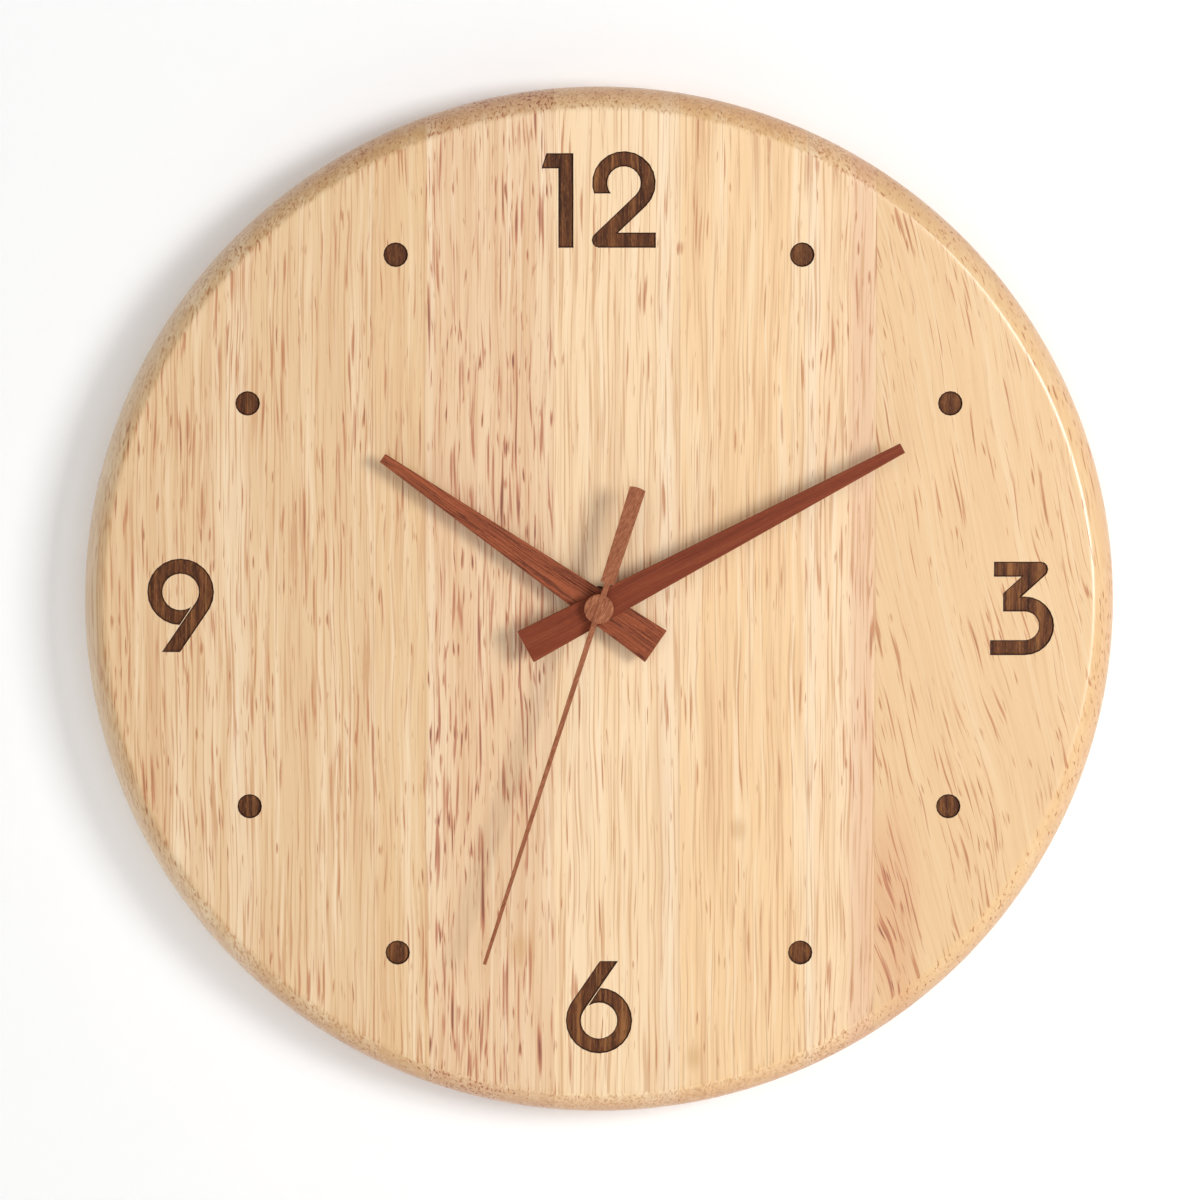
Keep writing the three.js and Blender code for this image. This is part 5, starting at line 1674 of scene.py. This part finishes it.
@dataclass
class CoverMarks:
    """The raised marks on the movement's cover: a border, a plus, a minus, an arrow and rivet heads."""

    surface: float = -1.0
    rise: float = 0.3
    knob: Point = (-17.0, -70.0)
    half_width: float = 26.3
    low: float = -79.5
    high: float = -43.5
    corner: float = 2.4
    line: float = 0.55
    bars: tuple[tuple[float, float, float, float], ...] = (
        (-7.6, -76.7, -4.4, -76.1),
        (-6.3, -76.05, -5.7, -74.8),
        (-6.3, -78.0, -5.7, -76.75),
        (20.4, -76.7, 23.6, -76.1),
    )
    rivets: tuple[Point, ...] = ((-23.6, -46.4), (23.6, -46.4), (23.6, -72.0))

    def border(self, inset: float) -> list[Point]:
        """Returns the border's corners, moved inwards."""
        reach = self.corner - inset
        left, right = -self.half_width + self.corner, self.half_width - self.corner
        low, high = self.low + self.corner, self.high - self.corner
        points: list[Point] = []
        quarters = (((right, high), 0.0), ((left, high), 90.0), ((left, low), 180.0), ((right, low), 270.0))
        for centre, start in quarters:
            points += arc(centre, reach, start, start + 90.0, 8)
        return points

    def build(self, material: Material) -> Piece:
        """Builds the marks.

        Args:
            material: Their finish.

        Returns:
            The marks as one piece.
        """
        mesh = bmesh.new()
        front, back = self.surface - 0.2, self.surface + self.rise
        outer, inner = self.border(0.0), self.border(self.line)
        loops = []
        for points, y in ((outer, front), (outer, back), (inner, back), (inner, front)):
            loops.append([mesh.verts.new(Vector((x, y, z)) * MM) for x, z in points])
        for first, second in zip(loops, loops[1:] + loops[:1]):
            wrap(mesh, first, second)
        for left, low, right, high in self.bars:
            slab(mesh, [(left, low), (right, low), (right, high), (left, high)], front, back)
        arrow = CurvedArrow(self.knob, 38.0, 92.0, 9.6, 9.1, 9.35, (10.3, 8.4), 12.0, 1.0, 20)
        arrow.build(mesh, front, back)
        head = [(0.0, 0.42), (0.5, 0.4), (0.95, 0.28), (1.2, 0.05), (1.2, -0.2), (0.0, -0.2)]
        for x, z in self.rivets:
            lathe(mesh, head, (x, self.surface, z), (0.0, 1.0, 0.0), 48)
        bmesh.ops.recalc_face_normals(mesh, faces=mesh.faces)
        marks = to_object("cover_marks", mesh, material, 30.0)
        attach(marks, BODY)
        return marks


@dataclass
class Studio:
    """The wall, the lights and the camera."""

    distance: float = 1800.0
    elevation_deg: float = 5.1
    width_at_clock: float = 350.6
    aim: Place = (0.3, -12.0, -69.5)

    def wall(self) -> Piece:
        """Builds the wall that runs forward into a floor.

        Returns:
            The wall.
        """
        mesh = bmesh.new()
        half, top, floor, bend, front = 2600.0, 2400.0, -1400.0, 500.0, -4200.0
        back, steps = 0.4, 12
        outline: list[Point] = [(back, top)]
        for step in range(steps + 1):
            turn = math.pi / 2 * step / steps
            outline.append((back - bend * (1 - math.cos(turn)), floor + bend * (1 - math.sin(turn))))
        outline.append((front, floor))
        rows = []
        for y, z in outline:
            rows.append([mesh.verts.new((x * MM, y * MM, z * MM)) for x in (-half, half)])
        for upper, lower in zip(rows, rows[1:]):
            mesh.faces.new((lower[0], lower[1], upper[1], upper[0]))
        bmesh.ops.recalc_face_normals(mesh, faces=mesh.faces)
        if mesh.faces[:][0].normal.y > 0:
            bmesh.ops.reverse_faces(mesh, faces=mesh.faces)
        wall = to_object("studio_wall", mesh, StageWall().build(), 60.0)
        return wall

    def lamp(
        self,
        name: str,
        place: Sequence[float],
        size: Sequence[float],
        power: float,
        gleam_only: bool = False,
    ) -> None:
        """Adds a soft box that looks at the clock.

        Args:
            name: Its name.
            place: Where it hangs, in millimetres.
            size: Its width and height, in millimetres.
            power: Its power in watts.
            gleam_only: Whether it shows in the gloss only and lights nothing.
        """
        light = bpy.data.lights.new(name, "AREA")
        light.shape = "RECTANGLE"
        light.size, light.size_y = size[0] * MM, size[1] * MM
        light.energy = power
        lamp = bpy.data.objects.new(name, light)
        lamp.location = Vector(place) * MM
        towards = Vector((0.0, 0.0, ARBOR_Z)) * MM - lamp.location
        lamp.rotation_euler = towards.to_track_quat("-Z", "Y").to_euler()
        lamp.visible_camera = False
        lamp.visible_diffuse = not gleam_only
        bpy.context.scene.collection.objects.link(lamp)

    def sky(self, strength: float) -> None:
        """Lights the room evenly.

        Args:
            strength: How bright the room is.
        """
        world = bpy.data.worlds.new("studio_air")
        world.use_nodes = True
        background = world.node_tree.nodes["Background"]
        background.inputs["Color"].default_value = (1.0, 1.0, 1.0, 1.0)
        background.inputs["Strength"].default_value = strength
        bpy.context.scene.world = world

    def camera(self) -> Piece:
        """Sets up the camera a little above the clock's level.

        Returns:
            The camera.
        """
        data = bpy.data.cameras.new("photo_camera")
        data.sensor_width = 36.0
        data.lens = data.sensor_width * self.distance / self.width_at_clock
        data.clip_end = 50.0
        camera = bpy.data.objects.new("photo_camera", data)
        rise = math.radians(self.elevation_deg)
        target = Vector(self.aim) * MM
        camera.location = target + Vector((0.0, -math.cos(rise), math.sin(rise))) * self.distance * MM
        camera.rotation_euler = (target - camera.location).to_track_quat("-Z", "Y").to_euler()
        bpy.context.scene.collection.objects.link(camera)
        bpy.context.scene.camera = camera
        return camera

    def build(self) -> None:
        """Sets up the wall, the lights, the room's air and the camera."""
        self.wall()
        self.lamp("key_soft_box", (1020.0, -1300.0, 130.0), (560.0, 560.0), 15.0)
        self.lamp("front_soft_box", (-150.0, -2700.0, 250.0), (2600.0, 2200.0), 24.3)
        self.lamp("rim_gleam_strip", (1050.0, -1350.0, 260.0), (220.0, 1500.0), 17.0, gleam_only=True)
        self.lamp("back_soft_box", (900.0, 1500.0, 700.0), (1400.0, 1400.0), 28.0)
        self.lamp("back_fill_box", (-1200.0, 1300.0, 200.0), (900.0, 900.0), 8.0)
        self.sky(0.16)
        self.camera()
        bpy.context.scene.view_settings.view_transform = "Standard"


def main() -> None:
    """Builds the clock's looks piece by piece."""
    logging.basicConfig(level=logging.INFO, format="%(name)s: %(message)s")
    for leftover in list(bpy.data.objects):
        bpy.data.objects.remove(leftover)
    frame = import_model()
    # The dark edge round the inlays, partly painted shade in the narrow gap.
    dark_edge_and_shade = Moulded("inlay_dark_edge_and_shade", (74, 38, 20), (56, 28, 14), 0.6, 5.0, 0.02).build()
    board = DialBoard(frame).build(RubberwoodBoard().build(), dark_edge_and_shade)
    LOG.info("board: %s", board.name)
    walnut = DarkWood(
        "inlay_walnut",
        (106, 60, 31),
        (58, 27, 12),
        (156, 102, 57),
        streaks=0.95,
        lines=0.45,
        line_rate=1.3,
        line_run=0.05,
        flecks=0.45,
    )
    inlays = HourMarks(frame).build(walnut.build())
    LOG.info("hour marks: %d", len(inlays))
    movement = Movement(frame)
    LOG.info("movement: %d", len(movement.build()))
    finishes = movement.made
    cell = Cell().build(finishes["battery_jacket"], finishes["steel"])
    LOG.info("cell: %s", cell.name)
    knob = SettingKnob().build(finishes["knob_plastic"])
    LOG.info("setting knob: %s", knob.name)
    for name, height in (("hanger_screw_upper", 14.0), ("hanger_screw_lower", -23.0)):
        screw = HangerScrew(name, height).build(finishes["steel"])
        LOG.info("screw: %s", screw.name)
    marks = CoverMarks().build(finishes["case_plastic"])
    LOG.info("cover marks: %s", marks.name)
    # A metal darkened as painted shade for the dark gap at the hub.
    bronze = Metal("metal_painted_hub_shade", (70, 40, 28), (48, 28, 20), 0.45, 0.3).build()
    hands = Hands(frame).build(bronze, finishes["steel"])
    LOG.info("hands: %d", len(hands))
    Studio().build()


if __name__ == "__main__":
    main()
